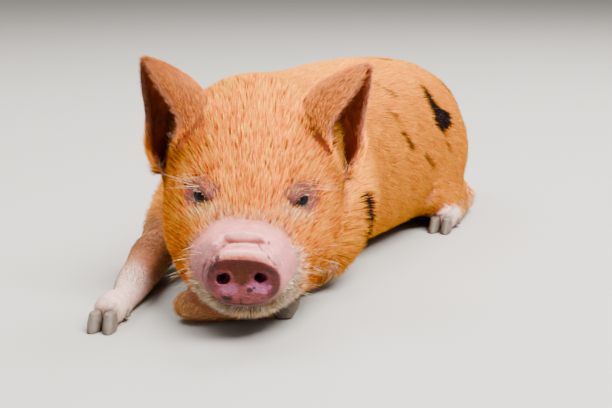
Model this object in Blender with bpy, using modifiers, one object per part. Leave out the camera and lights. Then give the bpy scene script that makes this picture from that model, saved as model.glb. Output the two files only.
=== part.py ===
"""A kunekune piglet a few weeks old, life size, lying on its belly.

Its head is low over its forelegs and turned to its own left. The right foreleg reaches forward along
the floor, the left one is folded under the jaw, and both hind legs are tucked forward beside the belly.
Lengths are in millimetres and angles in degrees until a mesh is made; meshes are in metres.
The piglet faces -Y, +Z is up, and its own left side is +X.
"""

import math
from collections import namedtuple

import bmesh
import bpy
import numpy as np
from mathutils import Matrix, Vector
from mathutils.bvhtree import BVHTree

MM = 0.001
GAP = 0.3
OBJECT_NAME = "kunekune_piglet"

# A region of space with its axes along the world's
Ellipsoid = namedtuple("Ellipsoid", "centre radii")

# The spine's path, from the snout's disc back to the rump
HEAD_YAW = 26.0
HEAD_ROLL = 2.5
ROLL_HEIGHT = 60.0
DISC_CENTRE = (14.1, -91.6)
STRAIGHT_UNTIL = 100.0
BEND_UNTIL = 180.0
BODY_LENGTH = 405.0
DISC_LEAN = 0.20
DISC_HEIGHT = 34.0
LEAN_UNTIL = 45.0

# A cross-section of the trunk: how far back along the path, half its width, and its heights
Station = namedtuple("Station", "back half_width top bottom widest")
TRUNK = (
    Station(0, 16.6, 45.5, 22.5, 34),
    Station(5, 18.7, 47, 21, 34),
    Station(12, 21.5, 49.5, 18, 34),
    Station(20, 27, 53.5, 15, 33),
    Station(40, 34, 60, 12, 34),
    Station(50, 38.5, 67, 12, 38),
    Station(60, 42, 80, 17, 42),
    Station(70, 44.5, 93, 19, 45),
    Station(80, 46, 104, 20, 48),
    Station(90, 47, 112, 20, 50),
    Station(100, 47.5, 117, 17, 52),
    Station(125, 48.5, 117, 5, 53),
    Station(145, 51, 115.5, 1, 53),
    Station(165, 54, 113.5, -1, 52),
    Station(220, 58.5, 111.5, -2, 51),
    Station(250, 59.5, 112, -2, 50),
    Station(305, 57.5, 109.5, -1, 49),
    Station(345, 51, 102, 1, 48),
    Station(365, 44.5, 94.5, 6, 47),
    Station(385, 34, 83.5, 14, 47),
    Station(397, 23, 71, 25, 47),
    Station(BODY_LENGTH, 9, 57, 37, 47),
)
JAW = (
    Station(9, 8, 20, 13, 17),
    Station(14, 13, 22, 10.5, 17),
    Station(30, 20, 25, 9, 18),
    Station(58, 27, 28, 11, 20),
    Station(76, 20, 28, 16, 22),
)
TOP_POWER = 2.2
FLANK_POWER = 2.5
RING_POINTS = 44
RING_STEP = 4.0

# Eyes, in the head's own coordinates: across, back from the disc, and height
EYE_OPENING = (26.0, 50.5, 62.0)
EYE_RADIUS = 7.3
EYE_OUTWARD = 48.0
EYE_UPWARD = 8.0
LID_THICKNESS = 1.5
OPENING_LENGTH = 9.4
OPENING_HEIGHT = 5.6
OPENING_TILT = 14.0

# Snout, mouth and chin
NOSTRIL_ACROSS = 8.7
NOSTRIL_HEIGHT = 35.0
NOSTRIL_RADII = (3.7, 9.0, 3.3)
DISC_DEPTH = 8.5
MOUTH_RADIUS = 1.0
MOUTH_FRONT = (0.0, 8.0, 18.5)
MOUTH_SIDE = (19.0, 19.0, 19.5)
MOUTH_CORNER = (33.5, 47.0, 24.0)

# Ears, in the head's own coordinates: from root to tip, each cross-section is a ring open on one side
EAR_BASE = (38.0, 93.0, 84.0)
EAR_TIP = (58.0, 85.5, 127.0)
EAR_RADIUS = 17.4
EAR_THICKNESS = 2.6
EAR_ROOT_DEPTH = 0.36
EAR_HEIGHTS = (-0.36, -0.30, -0.19, 0.0, 0.3, 0.67, 1.0)
EAR_HALF_OPENINGS = (9, 10, 21, 41, 47, 40, 34)
EAR_FACINGS = (40, 40, 41, 45, 48, 56, 60)
EAR_ROWS = 13
EAR_COLUMNS = 13
EAR_PIT = Ellipsoid((40.0, 89.5, 83.0), (12.0, 12.5, 17.0))

# Limbs: a bead is a point of the limb's middle line and the limb's radius there
Bead = namedtuple("Bead", "x y z radius")
SPINE_X = -47.8
UPPER_FORELEG_RIGHT = (
    Bead(-84, 66, 66, 22),
    Bead(-90, 50, 50, 24),
    Bead(-96, 30, 32, 19),
    Bead(-99, 12, 19, 14.5),
)
LOWER_FORELEG_RIGHT = (
    Bead(-97, 20, 20, 13),
    Bead(-95, -2, 13.5, 12.5),
    Bead(-88, -22, 10.7, 11),
    Bead(-79, -46, 9.6, 10),
    Bead(-72, -66, 7.3, 7.6),
    Bead(-67.5, -82, 8, 8.3),
    Bead(-65.5, -90, 7.6, 7.9),
)
UPPER_FORELEG_LEFT = (
    Bead(-14, 68, 62, 23),
    Bead(-4, 50, 46, 24),
    Bead(1, 30, 28, 19.5),
    Bead(1, 11, 15.5, 15),
)
LOWER_FORELEG_LEFT = (
    Bead(-1, 13, 14, 11.5),
    Bead(-10, -10, 11, 10.3),
    Bead(-21, -33, 9, 9.3),
    Bead(-32, -57, 8.2, 8.5),
    Bead(-36, -66, 8, 8.3),
)
CANNON_LEFT = (
    Bead(-35, -66, 7, 6.8),
    Bead(-24, -60, 6.1, 6.4),
    Bead(-12, -50, 5.8, 6.1),
    Bead(-5, -44.5, 6.3, 6.7),
    Bead(0, -40.5, 6.4, 6.8),
)
HAUNCH_CENTRE = (38.0, 212.0, 44.0)
HAUNCH_RADII = (22.0, 44.0, 40.0)
SHANK = (
    Bead(42, 174, 27, 18),
    Bead(46, 192, 20, 16),
    Bead(47, 218, 15, 13.5),
    Bead(45, 240, 13, 12),
    Bead(43, 250, 12, 11),
)
LOWER_HINDLEG = (
    Bead(47, 247, 9.6, 10),
    Bead(52, 228, 8, 8.4),
    Bead(56, 206, 7.2, 7.6),
    Bead(57.5, 191, 7.9, 8.2),
    Bead(58, 183, 7.5, 7.8),
)
TAIL = (
    Bead(0, 277, 83, 6.4),
    Bead(0, 290, 84, 5.6),
    Bead(1, 303, 82, 4.8),
    Bead(4, 312, 74, 3.9),
    Bead(9, 317, 63, 3.1),
    Bead(14, 316, 51, 2.6),
    Bead(17, 311, 42, 2.1),
    Bead(16, 307, 35, 1.6),
    Bead(12, 306, 30, 1.2),
)
LIMB_SIDES = 14
LIMB_STEP = 6.0

# Hooves
CLAW_LENGTH = 14.0
CLAW_WIDTH = 7.4
CLAW_HEIGHT = 9.5
CLAW_SPREAD = 4.3
DEWCLAW_RADIUS = 2.4
DEWCLAW_LENGTH = 6.5
DEWCLAW_HEIGHT = 3.7
DEWCLAW_BACK = 10.5
DEWCLAW_SPREAD = 6.4
TOE_REACH = 14.5
FOOT_LENGTH = 16.0
FLOOR_CLEARANCE = 0.6

# Cuts between the nodes
HEAD_ENDS = 88.0
THROAT_LEAN = -0.45
NECK_ENDS = 152.0
SHOULDER_CUT_RIGHT = Ellipsoid((-102, 34, 38), (27, 42, 46))
SHOULDER_CUT_LEFT = Ellipsoid((8, 38, 28), (28, 42, 38))
THIGH_CUT = Ellipsoid((60, 208, 42), (32, 52, 50))
SHANK_CUT = Ellipsoid((50, 250, 10), (24, 28, 20))

# Surface
VOXEL = 1.6
SMOOTHING = 6
TRIANGLES = 2700
FACE_WEIGHT = 0.8
FACE_ENDS = 130.0

# Colours: red, green, blue, roughness
GINGER = (0.60, 0.30, 0.11, 0.85)
MUZZLE_PINK = (0.55, 0.33, 0.31, 0.55)
PALE_LEG = (0.66, 0.45, 0.36, 0.8)
EYE_BROWN = (0.03, 0.015, 0.01, 0.08)
HORN = (0.16, 0.12, 0.10, 0.45)


def path_table():
    """The path's points and headings, one for each millimetre back from the disc."""
    count = int(BODY_LENGTH) + 60
    steps = np.arange(count, dtype=float)
    bend = np.clip((steps - STRAIGHT_UNTIL) / (BEND_UNTIL - STRAIGHT_UNTIL), 0, 1)
    heading = math.radians(HEAD_YAW) * (1 - bend * bend * (3 - 2 * bend))
    x = DISC_CENTRE[0] - np.concatenate([[0], np.cumsum(np.sin(heading))[:-1]])
    y = DISC_CENTRE[1] + np.concatenate([[0], np.cumsum(np.cos(heading))[:-1]])
    return steps, x, y, heading


PATH = path_table()


def place(across, back, height):
    """World points for places given across and back along the path, and in height, with the head's roll."""
    across, back, height = np.broadcast_arrays(
        np.asarray(across, float), np.asarray(back, float), np.asarray(height, float)
    )
    steps, path_x, path_y, headings = PATH
    heading = np.interp(back, steps, headings)
    x = np.interp(back, steps, path_x) + np.minimum(back, 0) * -np.sin(heading)
    y = np.interp(back, steps, path_y) + np.minimum(back, 0) * np.cos(heading)
    roll = math.radians(HEAD_ROLL) * np.clip((140 - back) / 80, 0, 1)
    side = across * np.cos(roll) + (height - ROLL_HEIGHT) * np.sin(roll)
    up = ROLL_HEIGHT + (height - ROLL_HEIGHT) * np.cos(roll) - across * np.sin(roll)
    return np.stack([x + side * np.cos(heading), y + side * np.sin(heading), up], axis=-1)


def head_places(points):
    """The head's own coordinates, across, back and height, of world points."""
    yaw = math.radians(HEAD_YAW)
    roll = math.radians(HEAD_ROLL)
    x = points[:, 0] - DISC_CENTRE[0]
    y = points[:, 1] - DISC_CENTRE[1]
    side = x * math.cos(yaw) + y * math.sin(yaw)
    back = -x * math.sin(yaw) + y * math.cos(yaw)
    up = points[:, 2] - ROLL_HEIGHT
    across = side * math.cos(roll) - up * math.sin(roll)
    height = ROLL_HEIGHT + up * math.cos(roll) + side * math.sin(roll)
    return np.stack([across, back, height], axis=1)


def head_vector(direction):
    """A world direction for one in the head's own coordinates."""
    ends = place(*np.array([[0, 0], [0, 0], [ROLL_HEIGHT, ROLL_HEIGHT]]) + np.outer(direction, [0, 1]))
    return Vector(ends[1] - ends[0]).normalized()


def smooth_through(places, values, at):
    """Values at the places asked for, on a smooth curve through the given ones that never overshoots."""
    places = np.asarray(places, float)
    values = np.asarray(values, float)
    gaps = np.diff(places)
    slopes = np.diff(values) / gaps
    tangents = np.zeros_like(values)
    same = slopes[:-1] * slopes[1:] > 0
    first = 2 * gaps[1:] + gaps[:-1]
    second = gaps[1:] + 2 * gaps[:-1]
    mean = (first + second) / (first / np.where(same, slopes[:-1], 1) + second / np.where(same, slopes[1:], 1))
    tangents[1:-1] = np.where(same, mean, 0)
    tangents[0] = slopes[0]
    tangents[-1] = slopes[-1]
    index = np.clip(np.searchsorted(places, at) - 1, 0, len(gaps) - 1)
    t = (np.asarray(at, float) - places[index]) / gaps[index]
    return (
        values[index] * (1 + 2 * t) * (1 - t) ** 2
        + values[index + 1] * t * t * (3 - 2 * t)
        + gaps[index] * (tangents[index] * t * (1 - t) ** 2 - tangents[index + 1] * t * t * (1 - t))
    )


def new_object(name, points, faces, collection=None):
    """A mesh object from points in millimetres."""
    mesh = bpy.data.meshes.new(name)
    mesh.from_pydata((np.asarray(points, float) * MM).tolist(), [], faces)
    mesh.update()
    made = bpy.data.objects.new(name, mesh)
    (collection or bpy.context.scene.collection).objects.link(made)
    return made


def loft(name, rings, collection=None):
    """A closed skin over rings of points, fanned shut at both ends."""
    count = len(rings[0])
    points = [point for ring in rings for point in ring]
    points += [np.mean(rings[0], axis=0), np.mean(rings[-1], axis=0)]
    start, end = len(points) - 2, len(points) - 1
    last = (len(rings) - 1) * count
    faces = []
    for side in range(count):
        after = (side + 1) % count
        faces.append((start, after, side))
        faces.append((end, last + side, last + after))
        for ring in range(len(rings) - 1):
            low, high = ring * count, (ring + 1) * count
            faces.append((low + side, low + after, high + after, high + side))
    made = new_object(name, points, faces, collection)
    point_outward(made)
    return made


def point_outward(made):
    """Every face turned to point out of the solid."""
    edit = bmesh.new()
    edit.from_mesh(made.data)
    bmesh.ops.recalc_face_normals(edit, faces=edit.faces)
    edit.to_mesh(made.data)
    edit.free()


def sections(name, stations, upper_power, lower_power):
    """A loft along the path through stations, each an egg-like section with squarish flanks."""
    backs = [station.back for station in stations]
    count = max(6, round((backs[-1] - backs[0]) / RING_STEP))
    at = np.linspace(backs[0], backs[-1], count)
    at = np.unique(np.concatenate([at, backs, np.linspace(backs[0], backs[0] + 12, 5)]))
    half, top, bottom, widest = (
        smooth_through(backs, [getattr(station, field) for station in stations], at)
        for field in ("half_width", "top", "bottom", "widest")
    )
    turn = np.linspace(0, 2 * math.pi, RING_POINTS, endpoint=False)
    rings = []
    for i, back in enumerate(at):
        power = np.where(np.sin(turn) > 0, upper_power, lower_power)
        across = half[i] * np.sign(np.cos(turn)) * np.abs(np.cos(turn)) ** (2 / power)
        rise = np.where(np.sin(turn) > 0, top[i] - widest[i], widest[i] - bottom[i])
        height = widest[i] + rise * np.sign(np.sin(turn)) * np.abs(np.sin(turn)) ** (2 / power)
        lean = DISC_LEAN * max(0.0, 1 - back / LEAN_UNTIL)
        rings.append(place(across, back + lean * (DISC_HEIGHT - height), height))
    return loft(name, rings)


def smooth_beads(beads, step=LIMB_STEP):
    """Beads close together on a smooth curve through a limb's own beads."""
    table = np.array(beads, float)
    lengths = np.concatenate([[0], np.cumsum(np.linalg.norm(np.diff(table[:, :3], axis=0), axis=1))])
    at = np.linspace(0, lengths[-1], max(4, round(lengths[-1] / step)))
    return np.stack([smooth_through(lengths, table[:, k], at) for k in range(4)], axis=1)


def limb(name, beads, collection=None, sides=LIMB_SIDES):
    """A round loft along a limb's beads, with domed ends."""
    table = smooth_beads(beads)
    centres, radii = table[:, :3], table[:, 3]
    tangents = np.gradient(centres, axis=0)
    tangents /= np.linalg.norm(tangents, axis=1)[:, None]
    side = np.cross(tangents[0], (0, 0, 1))
    rings = []
    turn = np.linspace(0, 2 * math.pi, sides, endpoint=False)
    for i, centre in enumerate(centres):
        side = side - tangents[i] * np.dot(side, tangents[i])
        side /= np.linalg.norm(side)
        up = np.cross(side, tangents[i])
        circle = np.outer(np.cos(turn), side) + np.outer(np.sin(turn), up)
        ring = centre + radii[i] * circle
        if i == 0:
            rings.append(ring - tangents[0] * radii[0] * 0.55 - circle * radii[0] * 0.45)
        rings.append(ring)
        if i == len(centres) - 1:
            rings.append(ring + tangents[i] * radii[i] * 0.55 - circle * radii[i] * 0.45)
    return loft(name, rings, collection)


def ball(name, centre, radii, collection=None, segments=24, rings=16):
    """An ellipsoid with its axes along the world's."""
    edit = bmesh.new()
    bmesh.ops.create_uvsphere(edit, u_segments=segments, v_segments=rings, radius=1.0)
    bmesh.ops.scale(edit, vec=Vector(radii) * MM, verts=edit.verts)
    bmesh.ops.translate(edit, vec=Vector(centre) * MM, verts=edit.verts)
    mesh = bpy.data.meshes.new(name)
    edit.to_mesh(mesh)
    edit.free()
    made = bpy.data.objects.new(name, mesh)
    (collection or bpy.context.scene.collection).objects.link(made)
    return made


def settle(made):
    """The object's mesh as its modifiers leave it, with the modifiers taken off."""
    bpy.context.view_layer.update()
    graph = bpy.context.evaluated_depsgraph_get()
    mesh = bpy.data.meshes.new_from_object(made.evaluated_get(graph))
    old = made.data
    made.modifiers.clear()
    made.data = mesh
    bpy.data.meshes.remove(old)


def combine(made, other, operation):
    """A union, cut or intersection of one solid with another."""
    modifier = made.modifiers.new(operation.title(), "BOOLEAN")
    modifier.operation = operation
    modifier.object = other
    settle(made)


def duplicate(made, name):
    """A second object with its own copy of the mesh."""
    copy = made.copy()
    copy.data = made.data.copy()
    copy.name = name
    bpy.context.scene.collection.objects.link(copy)
    return copy


def discard(*spares):
    """Helper objects taken out of the scene."""
    for spare in spares:
        bpy.data.objects.remove(spare, do_unlink=True)


def keep_largest(made):
    """Only the largest closed surface of a mesh, with no specks and no needle faces."""
    edit = bmesh.new()
    edit.from_mesh(made.data)
    bmesh.ops.remove_doubles(edit, verts=edit.verts, dist=0.002 * MM)
    bmesh.ops.dissolve_degenerate(edit, edges=edit.edges, dist=0.002 * MM)
    edit.verts.ensure_lookup_table()
    left = set(edit.verts)
    islands = []
    while left:
        reached = {left.pop()}
        edge_of_reach = list(reached)
        while edge_of_reach:
            vert = edge_of_reach.pop()
            for edge in vert.link_edges:
                other = edge.other_vert(vert)
                if other in left:
                    left.discard(other)
                    reached.add(other)
                    edge_of_reach.append(other)
        islands.append(reached)
    islands.sort(key=len)
    loose = [vert for island in islands[:-1] for vert in island]
    bmesh.ops.delete(edit, geom=loose, context="VERTS")
    bmesh.ops.triangulate(edit, faces=edit.faces)
    edit.to_mesh(made.data)
    edit.free()


def coordinates(made):
    """A mesh's points, in millimetres."""
    flat = np.empty(len(made.data.vertices) * 3)
    made.data.vertices.foreach_get("co", flat)
    return flat.reshape(-1, 3) / MM


def move_points(made, points):
    """A mesh's points set from millimetres."""
    made.data.vertices.foreach_set("co", (points * MM).ravel())
    made.data.update()


def normals(made):
    """A mesh's vertex normals."""
    flat = np.empty(len(made.data.vertices) * 3)
    made.data.vertex_normals.foreach_get("vector", flat)
    return flat.reshape(-1, 3)


def inflated(made, name, by=GAP):
    """A copy of a solid, grown outward."""
    copy = duplicate(made, name)
    move_points(copy, coordinates(copy) + normals(copy) * by * 1.15)
    return copy


def box(name, centre, size, axes=None):
    """A block; its axes are the world's, or the columns of the given matrix."""
    edit = bmesh.new()
    bmesh.ops.create_cube(edit, size=1.0)
    bmesh.ops.scale(edit, vec=Vector(size) * MM, verts=edit.verts)
    if axes is not None:
        bmesh.ops.transform(edit, matrix=axes.to_4x4(), verts=edit.verts)
    bmesh.ops.translate(edit, vec=Vector(centre) * MM, verts=edit.verts)
    mesh = bpy.data.meshes.new(name)
    edit.to_mesh(mesh)
    edit.free()
    made = bpy.data.objects.new(name, mesh)
    bpy.context.scene.collection.objects.link(made)
    return made


def split(made, point, direction, front_name, back_name, gap=GAP):
    """The two sides of a solid, a small gap apart at a plane; the back lies along the direction."""
    direction = Vector(direction).normalized()
    axes = direction.to_track_quat("Z", "Y").to_matrix()
    point = Vector(point)
    reach = 1200.0
    pieces = []
    for name, way in ((front_name, -1), (back_name, 1)):
        half = box("half_space", point + direction * way * (reach + gap) / 2, (reach, reach, reach), axes)
        piece = duplicate(made, name)
        combine(piece, half, "INTERSECT")
        keep_largest(piece)
        discard(half)
        pieces.append(piece)
    discard(made)
    return pieces


def take_region(made, region, name):
    """The piece of a solid inside an ellipsoid, cut out of it with a small gap all round."""
    inner = ball("region", region.centre, region.radii, segments=20, rings=12)
    outer = ball("region_gap", region.centre, [r + GAP for r in region.radii], segments=20, rings=12)
    piece = duplicate(made, name)
    combine(piece, inner, "INTERSECT")
    keep_largest(piece)
    combine(made, outer, "DIFFERENCE")
    keep_largest(made)
    discard(inner, outer)
    return piece


def mirrored(region):
    """An ellipsoid given across from the spine, on the left side and on the right one."""
    across, y, z = region.centre
    return {
        side: Ellipsoid((SPINE_X + way * across, y, z), region.radii)
        for side, way in (("left", 1), ("right", -1))
    }


def beside_spine(beads, way):
    """Beads given across from the spine, moved to one side of it."""
    return [Bead(SPINE_X + way * bead.x, bead.y, bead.z, bead.radius) for bead in beads]


def eye_frame(way):
    """An eye's centre, and the directions of its gaze, its length and its height."""
    outward, upward = math.radians(EYE_OUTWARD), math.radians(EYE_UPWARD)
    gaze = np.array([
        way * math.sin(outward) * math.cos(upward),
        -math.cos(outward) * math.cos(upward),
        math.sin(upward),
    ])
    opening = np.array([way * EYE_OPENING[0], EYE_OPENING[1], EYE_OPENING[2]])
    centre = opening - gaze * EYE_RADIUS
    forward = head_vector(gaze)
    along = Vector((0, 0, 1)).cross(forward).normalized()
    up = forward.cross(along).normalized()
    tilt = Matrix.Rotation(math.radians(OPENING_TILT) * way, 3, forward)
    return Vector(place(*centre)), forward, tilt @ along, tilt @ up


def almond(name, centre, forward, along, up):
    """A lens-shaped prism through the lids, pointed at both corners of the eye."""
    count = 10
    half_length, half_height = OPENING_LENGTH / 2, OPENING_HEIGHT / 2
    outline = []
    for i in range(count):
        t = -1 + 2 * i / count
        outline.append((t, (1 - t * t) ** 0.85))
    for i in range(count):
        t = 1 - 2 * i / count
        outline.append((t, -0.8 * (1 - t * t) ** 0.85))
    rings = []
    for depth, grow in ((EYE_RADIUS * 0.35, 0.92), (EYE_RADIUS + 8, 1.25)):
        rings.append([
            np.array(centre + forward * depth + along * t * half_length * grow + up * h * half_height * grow)
            for t, h in outline
        ])
    return loft(name, rings)


def along_line(points, line, reach):
    """How near each point is to a line of points, from 0 beyond reach to 1 on it, in a bell shape."""
    nearest = np.full(len(points), 1e9)
    for start, end in zip(line[:-1], line[1:]):
        span = end - start
        t = np.clip((points - start) @ span / np.dot(span, span), 0, 1)
        nearest = np.minimum(nearest, np.linalg.norm(points - start - t[:, None] * span, axis=1))
    return np.exp(-(nearest / reach) ** 2)


def arc(start, middle, end, count=12):
    """Points on a smooth bow through three places."""
    start, middle, end = (np.asarray(p, float) for p in (start, middle, end))
    control = 2 * middle - (start + end) / 2
    t = np.linspace(0, 1, count)[:, None]
    return start * (1 - t) ** 2 + control * 2 * t * (1 - t) + end * t * t


def mouth_line():
    """The mouth, from one corner round under the disc to the other, in the head's own coordinates."""
    half = arc(MOUTH_FRONT, MOUTH_SIDE, MOUTH_CORNER, count=9)
    mirror = half[::-1] * (-1, 1, 1)
    return np.concatenate([mirror[:-1], half])


# A fold or a hollow of the face: its line in the head's coordinates, its reach and its height
Fold = namedtuple("Fold", "start middle end reach height")
FOLDS = (
    Fold((-13, 9, 47), (0, 8.5, 51), (13, 9, 47), 2.2, -1.3),
    Fold((-20, 8, 36), (-17, 8.5, 43), (-12, 9, 47), 2.2, -1.0),
    Fold((20, 8, 36), (17, 8.5, 43), (12, 9, 47), 2.2, -1.0),
    Fold((-12, 14, 49), (0, 14, 52), (12, 14, 49), 3.0, 1.1),
    Fold((-13, 17.5, 50), (0, 18, 54), (13, 17.5, 50), 2.0, -1.1),
    Fold((16, 52, 68), (26, 50, 70), (35, 57, 67), 4.0, 2.2),
    Fold((-16, 52, 68), (-26, 50, 70), (-35, 57, 67), 4.0, 2.2),
    Fold((20, 44, 55), (27, 45, 53.5), (35, 52, 55), 3.0, 1.0),
    Fold((-20, 44, 55), (-27, 45, 53.5), (-35, 52, 55), 3.0, 1.0),
    Fold((30, 62, 36), (40, 66, 30), (42, 78, 36), 12.0, 3.0),
    Fold((-30, 62, 36), (-40, 66, 30), (-42, 78, 36), 12.0, 1.5),
)
LIP_REACH = 3.4
LIP_HEIGHT = 1.1


def shape_face(whole):
    """Folds behind the disc, brows, cheeks and lips raised or sunk on the whole body's surface."""
    points = coordinates(whole)
    outward = normals(whole)
    places = head_places(points)
    rise = np.zeros(len(points))
    for fold in FOLDS:
        rise += fold.height * along_line(places, arc(fold.start, fold.middle, fold.end), fold.reach)
    rise += LIP_HEIGHT * along_line(places, mouth_line(), LIP_REACH)
    move_points(whole, points + outward * rise[:, None])


def body():
    """Trunk, jaw, shoulders, haunches and shanks as one smooth solid."""
    pieces = [
        sections("trunk", TRUNK, TOP_POWER, FLANK_POWER),
        sections("jaw", JAW, TOP_POWER, FLANK_POWER),
        limb("shoulder_right", UPPER_FORELEG_RIGHT),
        limb("shoulder_left", UPPER_FORELEG_LEFT),
    ]
    for way in (-1, 1):
        centre = (SPINE_X + way * HAUNCH_CENTRE[0], HAUNCH_CENTRE[1], HAUNCH_CENTRE[2])
        pieces.append(ball("haunch", centre, HAUNCH_RADII))
        pieces.append(limb("shank", beside_spine(SHANK, way)))
        eye_centre = eye_frame(way)[0]
        pieces.append(ball("lids", eye_centre, [EYE_RADIUS + LID_THICKNESS] * 3))
    whole = pieces[0]
    join = bmesh.new()
    for piece in pieces:
        join.from_mesh(piece.data)
    join.to_mesh(whole.data)
    join.free()
    discard(*pieces[1:])
    whole.name = "whole"
    remesh = whole.modifiers.new("Even", "REMESH")
    remesh.mode = "VOXEL"
    remesh.voxel_size = VOXEL * MM
    smooth = whole.modifiers.new("Smooth", "SMOOTH")
    smooth.factor = 0.5
    smooth.iterations = SMOOTHING
    settle(whole)
    shape_face(whole)
    simplify(whole, TRIANGLES)
    return whole


def simplify(whole, triangles):
    """Fewer triangles, kept closest together on the face."""
    group = whole.vertex_groups.new(name="plain")
    back = head_places(coordinates(whole))[:, 1]
    weights = np.clip(FACE_WEIGHT + (1 - FACE_WEIGHT) * back / FACE_ENDS, FACE_WEIGHT, 1)
    for index, weight in enumerate(weights):
        group.add([index], float(weight), "REPLACE")
    modifier = whole.modifiers.new("Fewer", "DECIMATE")
    modifier.vertex_group = "plain"
    modifier.vertex_group_factor = 1.0
    modifier.ratio = triangles / (2 * len(whole.data.polygons))
    settle(whole)
    whole.vertex_groups.clear()
    keep_largest(whole)


def surface_line(whole, line, sink):
    """A line in the head's coordinates laid on the skin, sunk a little into it."""
    edit = bmesh.new()
    edit.from_mesh(whole.data)
    tree = BVHTree.FromBMesh(edit)
    laid = []
    for place_on in line:
        spot, normal, _, _ = tree.find_nearest(Vector(place(*place_on)) * MM)
        laid.append(spot / MM - normal * sink)
    edit.free()
    return laid


def groove(name, points, radius):
    """A thin closed tube through points."""
    curve = bpy.data.curves.new(name, "CURVE")
    curve.dimensions = "3D"
    curve.bevel_depth = radius * MM
    curve.bevel_resolution = 0
    curve.use_fill_caps = True
    spline = curve.splines.new("POLY")
    spline.points.add(len(points) - 1)
    for point, at in zip(spline.points, points):
        point.co = (*(at * MM), 1)
    drawn = bpy.data.objects.new(name + "_line", curve)
    bpy.context.scene.collection.objects.link(drawn)
    bpy.context.view_layer.update()
    graph = bpy.context.evaluated_depsgraph_get()
    mesh = bpy.data.meshes.new_from_object(drawn.evaluated_get(graph))
    made = bpy.data.objects.new(name, mesh)
    made.matrix_world = drawn.matrix_world
    bpy.context.scene.collection.objects.link(made)
    discard(drawn)
    edit = bmesh.new()
    edit.from_mesh(mesh)
    bmesh.ops.remove_doubles(edit, verts=edit.verts, dist=0.01 * MM)
    bmesh.ops.recalc_face_normals(edit, faces=edit.faces)
    edit.to_mesh(mesh)
    edit.free()
    return made


def nostril(name, way):
    """A pit in the disc, tilted so that its mouths turn a little outward."""
    centre = place(way * NOSTRIL_ACROSS, 2.0, NOSTRIL_HEIGHT)
    made = ball(name, (0, 0, 0), NOSTRIL_RADII, segments=16, rings=12)
    turn = Matrix.Rotation(math.radians(HEAD_YAW), 4, "Z") @ Matrix.Rotation(math.radians(way * -12), 4, "Y")
    made.data.transform(Matrix.Translation(Vector(centre) * MM) @ turn)
    return made


def ear_shell(name, way, collection):
    """A pointed cup, rolled nearly shut at its root, with its inner edge lapping over its opening."""
    base, tip = np.array(EAR_BASE), np.array(EAR_TIP)
    heights = np.linspace(-EAR_ROOT_DEPTH, 0.985, EAR_ROWS)
    openings = smooth_through(EAR_HEIGHTS, EAR_HALF_OPENINGS, heights)
    facings = smooth_through(EAR_HEIGHTS, EAR_FACINGS, heights)
    points, faces = [], []
    for u, opening, facing in zip(heights, openings, facings):
        rise = max(u, 0.0)
        centre = base + (tip - base) * (rise ** 2.2 if u > 0 else 0.35 * u, u, u)
        radius = EAR_RADIUS * (1 - rise ** 2.6) ** 0.85 + min(u, 0.0) * 6
        for j in range(EAR_COLUMNS):
            turn = math.radians(facing + opening + (360 - 2 * opening) * j / (EAR_COLUMNS - 1))
            spot = centre + radius * np.array([math.sin(turn), -math.cos(turn), -0.25 * math.sin(turn)])
            points.append(place(spot[0] * way, spot[1], spot[2]))
    for i in range(EAR_ROWS - 1):
        for j in range(EAR_COLUMNS - 1):
            low = i * EAR_COLUMNS + j
            face = (low, low + 1, low + EAR_COLUMNS + 1, low + EAR_COLUMNS)
            faces.append(face if way > 0 else face[::-1])
    made = new_object(name, points, faces, collection)
    shell = made.modifiers.new("Thick", "SOLIDIFY")
    shell.thickness = EAR_THICKNESS * MM
    shell.offset = 0.0
    settle(made)
    point_outward(made)
    return made


def claw(name, toe, heading, width_way, collection):
    """One claw: flat soled, pointed in front and sloping up to the coronet."""
    forward = np.array([math.sin(heading), -math.cos(heading), 0.0])
    side = np.array([math.cos(heading), math.sin(heading), 0.0]) * width_way
    rings = []
    for height, length, width, back in (
        (0.0, 1.0, 0.92, 0.0),
        (0.12, 1.0, 1.0, 0.01),
        (0.55, 0.86, 0.96, 0.12),
        (0.9, 0.66, 0.86, 0.26),
        (1.0, 0.58, 0.72, 0.3),
    ):
        ring = []
        for k in range(14):
            turn = 2 * math.pi * k / 14
            along = (0.5 + 0.5 * math.cos(turn)) * length + back
            across = 0.5 * width * math.sin(turn) * (0.72 + 0.28 * (1 - math.cos(turn)) / 2)
            inner = 0.12 * (1 - (2 * along - 1) ** 2)
            ring.append(
                np.array(toe)
                - forward * CLAW_LENGTH * along
                + side * CLAW_WIDTH * (across - inner * 0.5)
                + np.array([0, 0, CLAW_HEIGHT * height])
            )
        rings.append(ring)
    return loft(name, rings, collection)


def dewclaw(name, root, heading, collection):
    """A small blunt horn cone behind the foot."""
    edit = bmesh.new()
    bmesh.ops.create_cone(
        edit,
        cap_ends=True,
        segments=10,
        radius1=DEWCLAW_RADIUS * MM,
        radius2=DEWCLAW_RADIUS * 0.45 * MM,
        depth=DEWCLAW_LENGTH * MM,
    )
    lean = Matrix.Rotation(heading, 4, "Z") @ Matrix.Rotation(math.radians(-115), 4, "X")
    bmesh.ops.transform(edit, matrix=Matrix.Translation(Vector(root) * MM) @ lean, verts=edit.verts)
    mesh = bpy.data.meshes.new(name)
    edit.to_mesh(mesh)
    edit.free()
    made = bpy.data.objects.new(name, mesh)
    collection.objects.link(made)
    return made


def material(name, colour):
    """A plain surface of one colour."""
    made = bpy.data.materials.new(name)
    made.use_nodes = True
    shader = made.node_tree.nodes["Principled BSDF"]
    shader.inputs["Base Color"].default_value = (*colour[:3], 1)
    shader.inputs["Roughness"].default_value = colour[3]
    shader.inputs["Metallic"].default_value = 0.0
    made.diffuse_color = (*colour[:3], 1)
    return made


def clear_scene():
    """Nothing left of the startup scene."""
    for left in list(bpy.data.objects):
        bpy.data.objects.remove(left, do_unlink=True)
    for group in list(bpy.data.collections):
        bpy.data.collections.remove(group)


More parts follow.
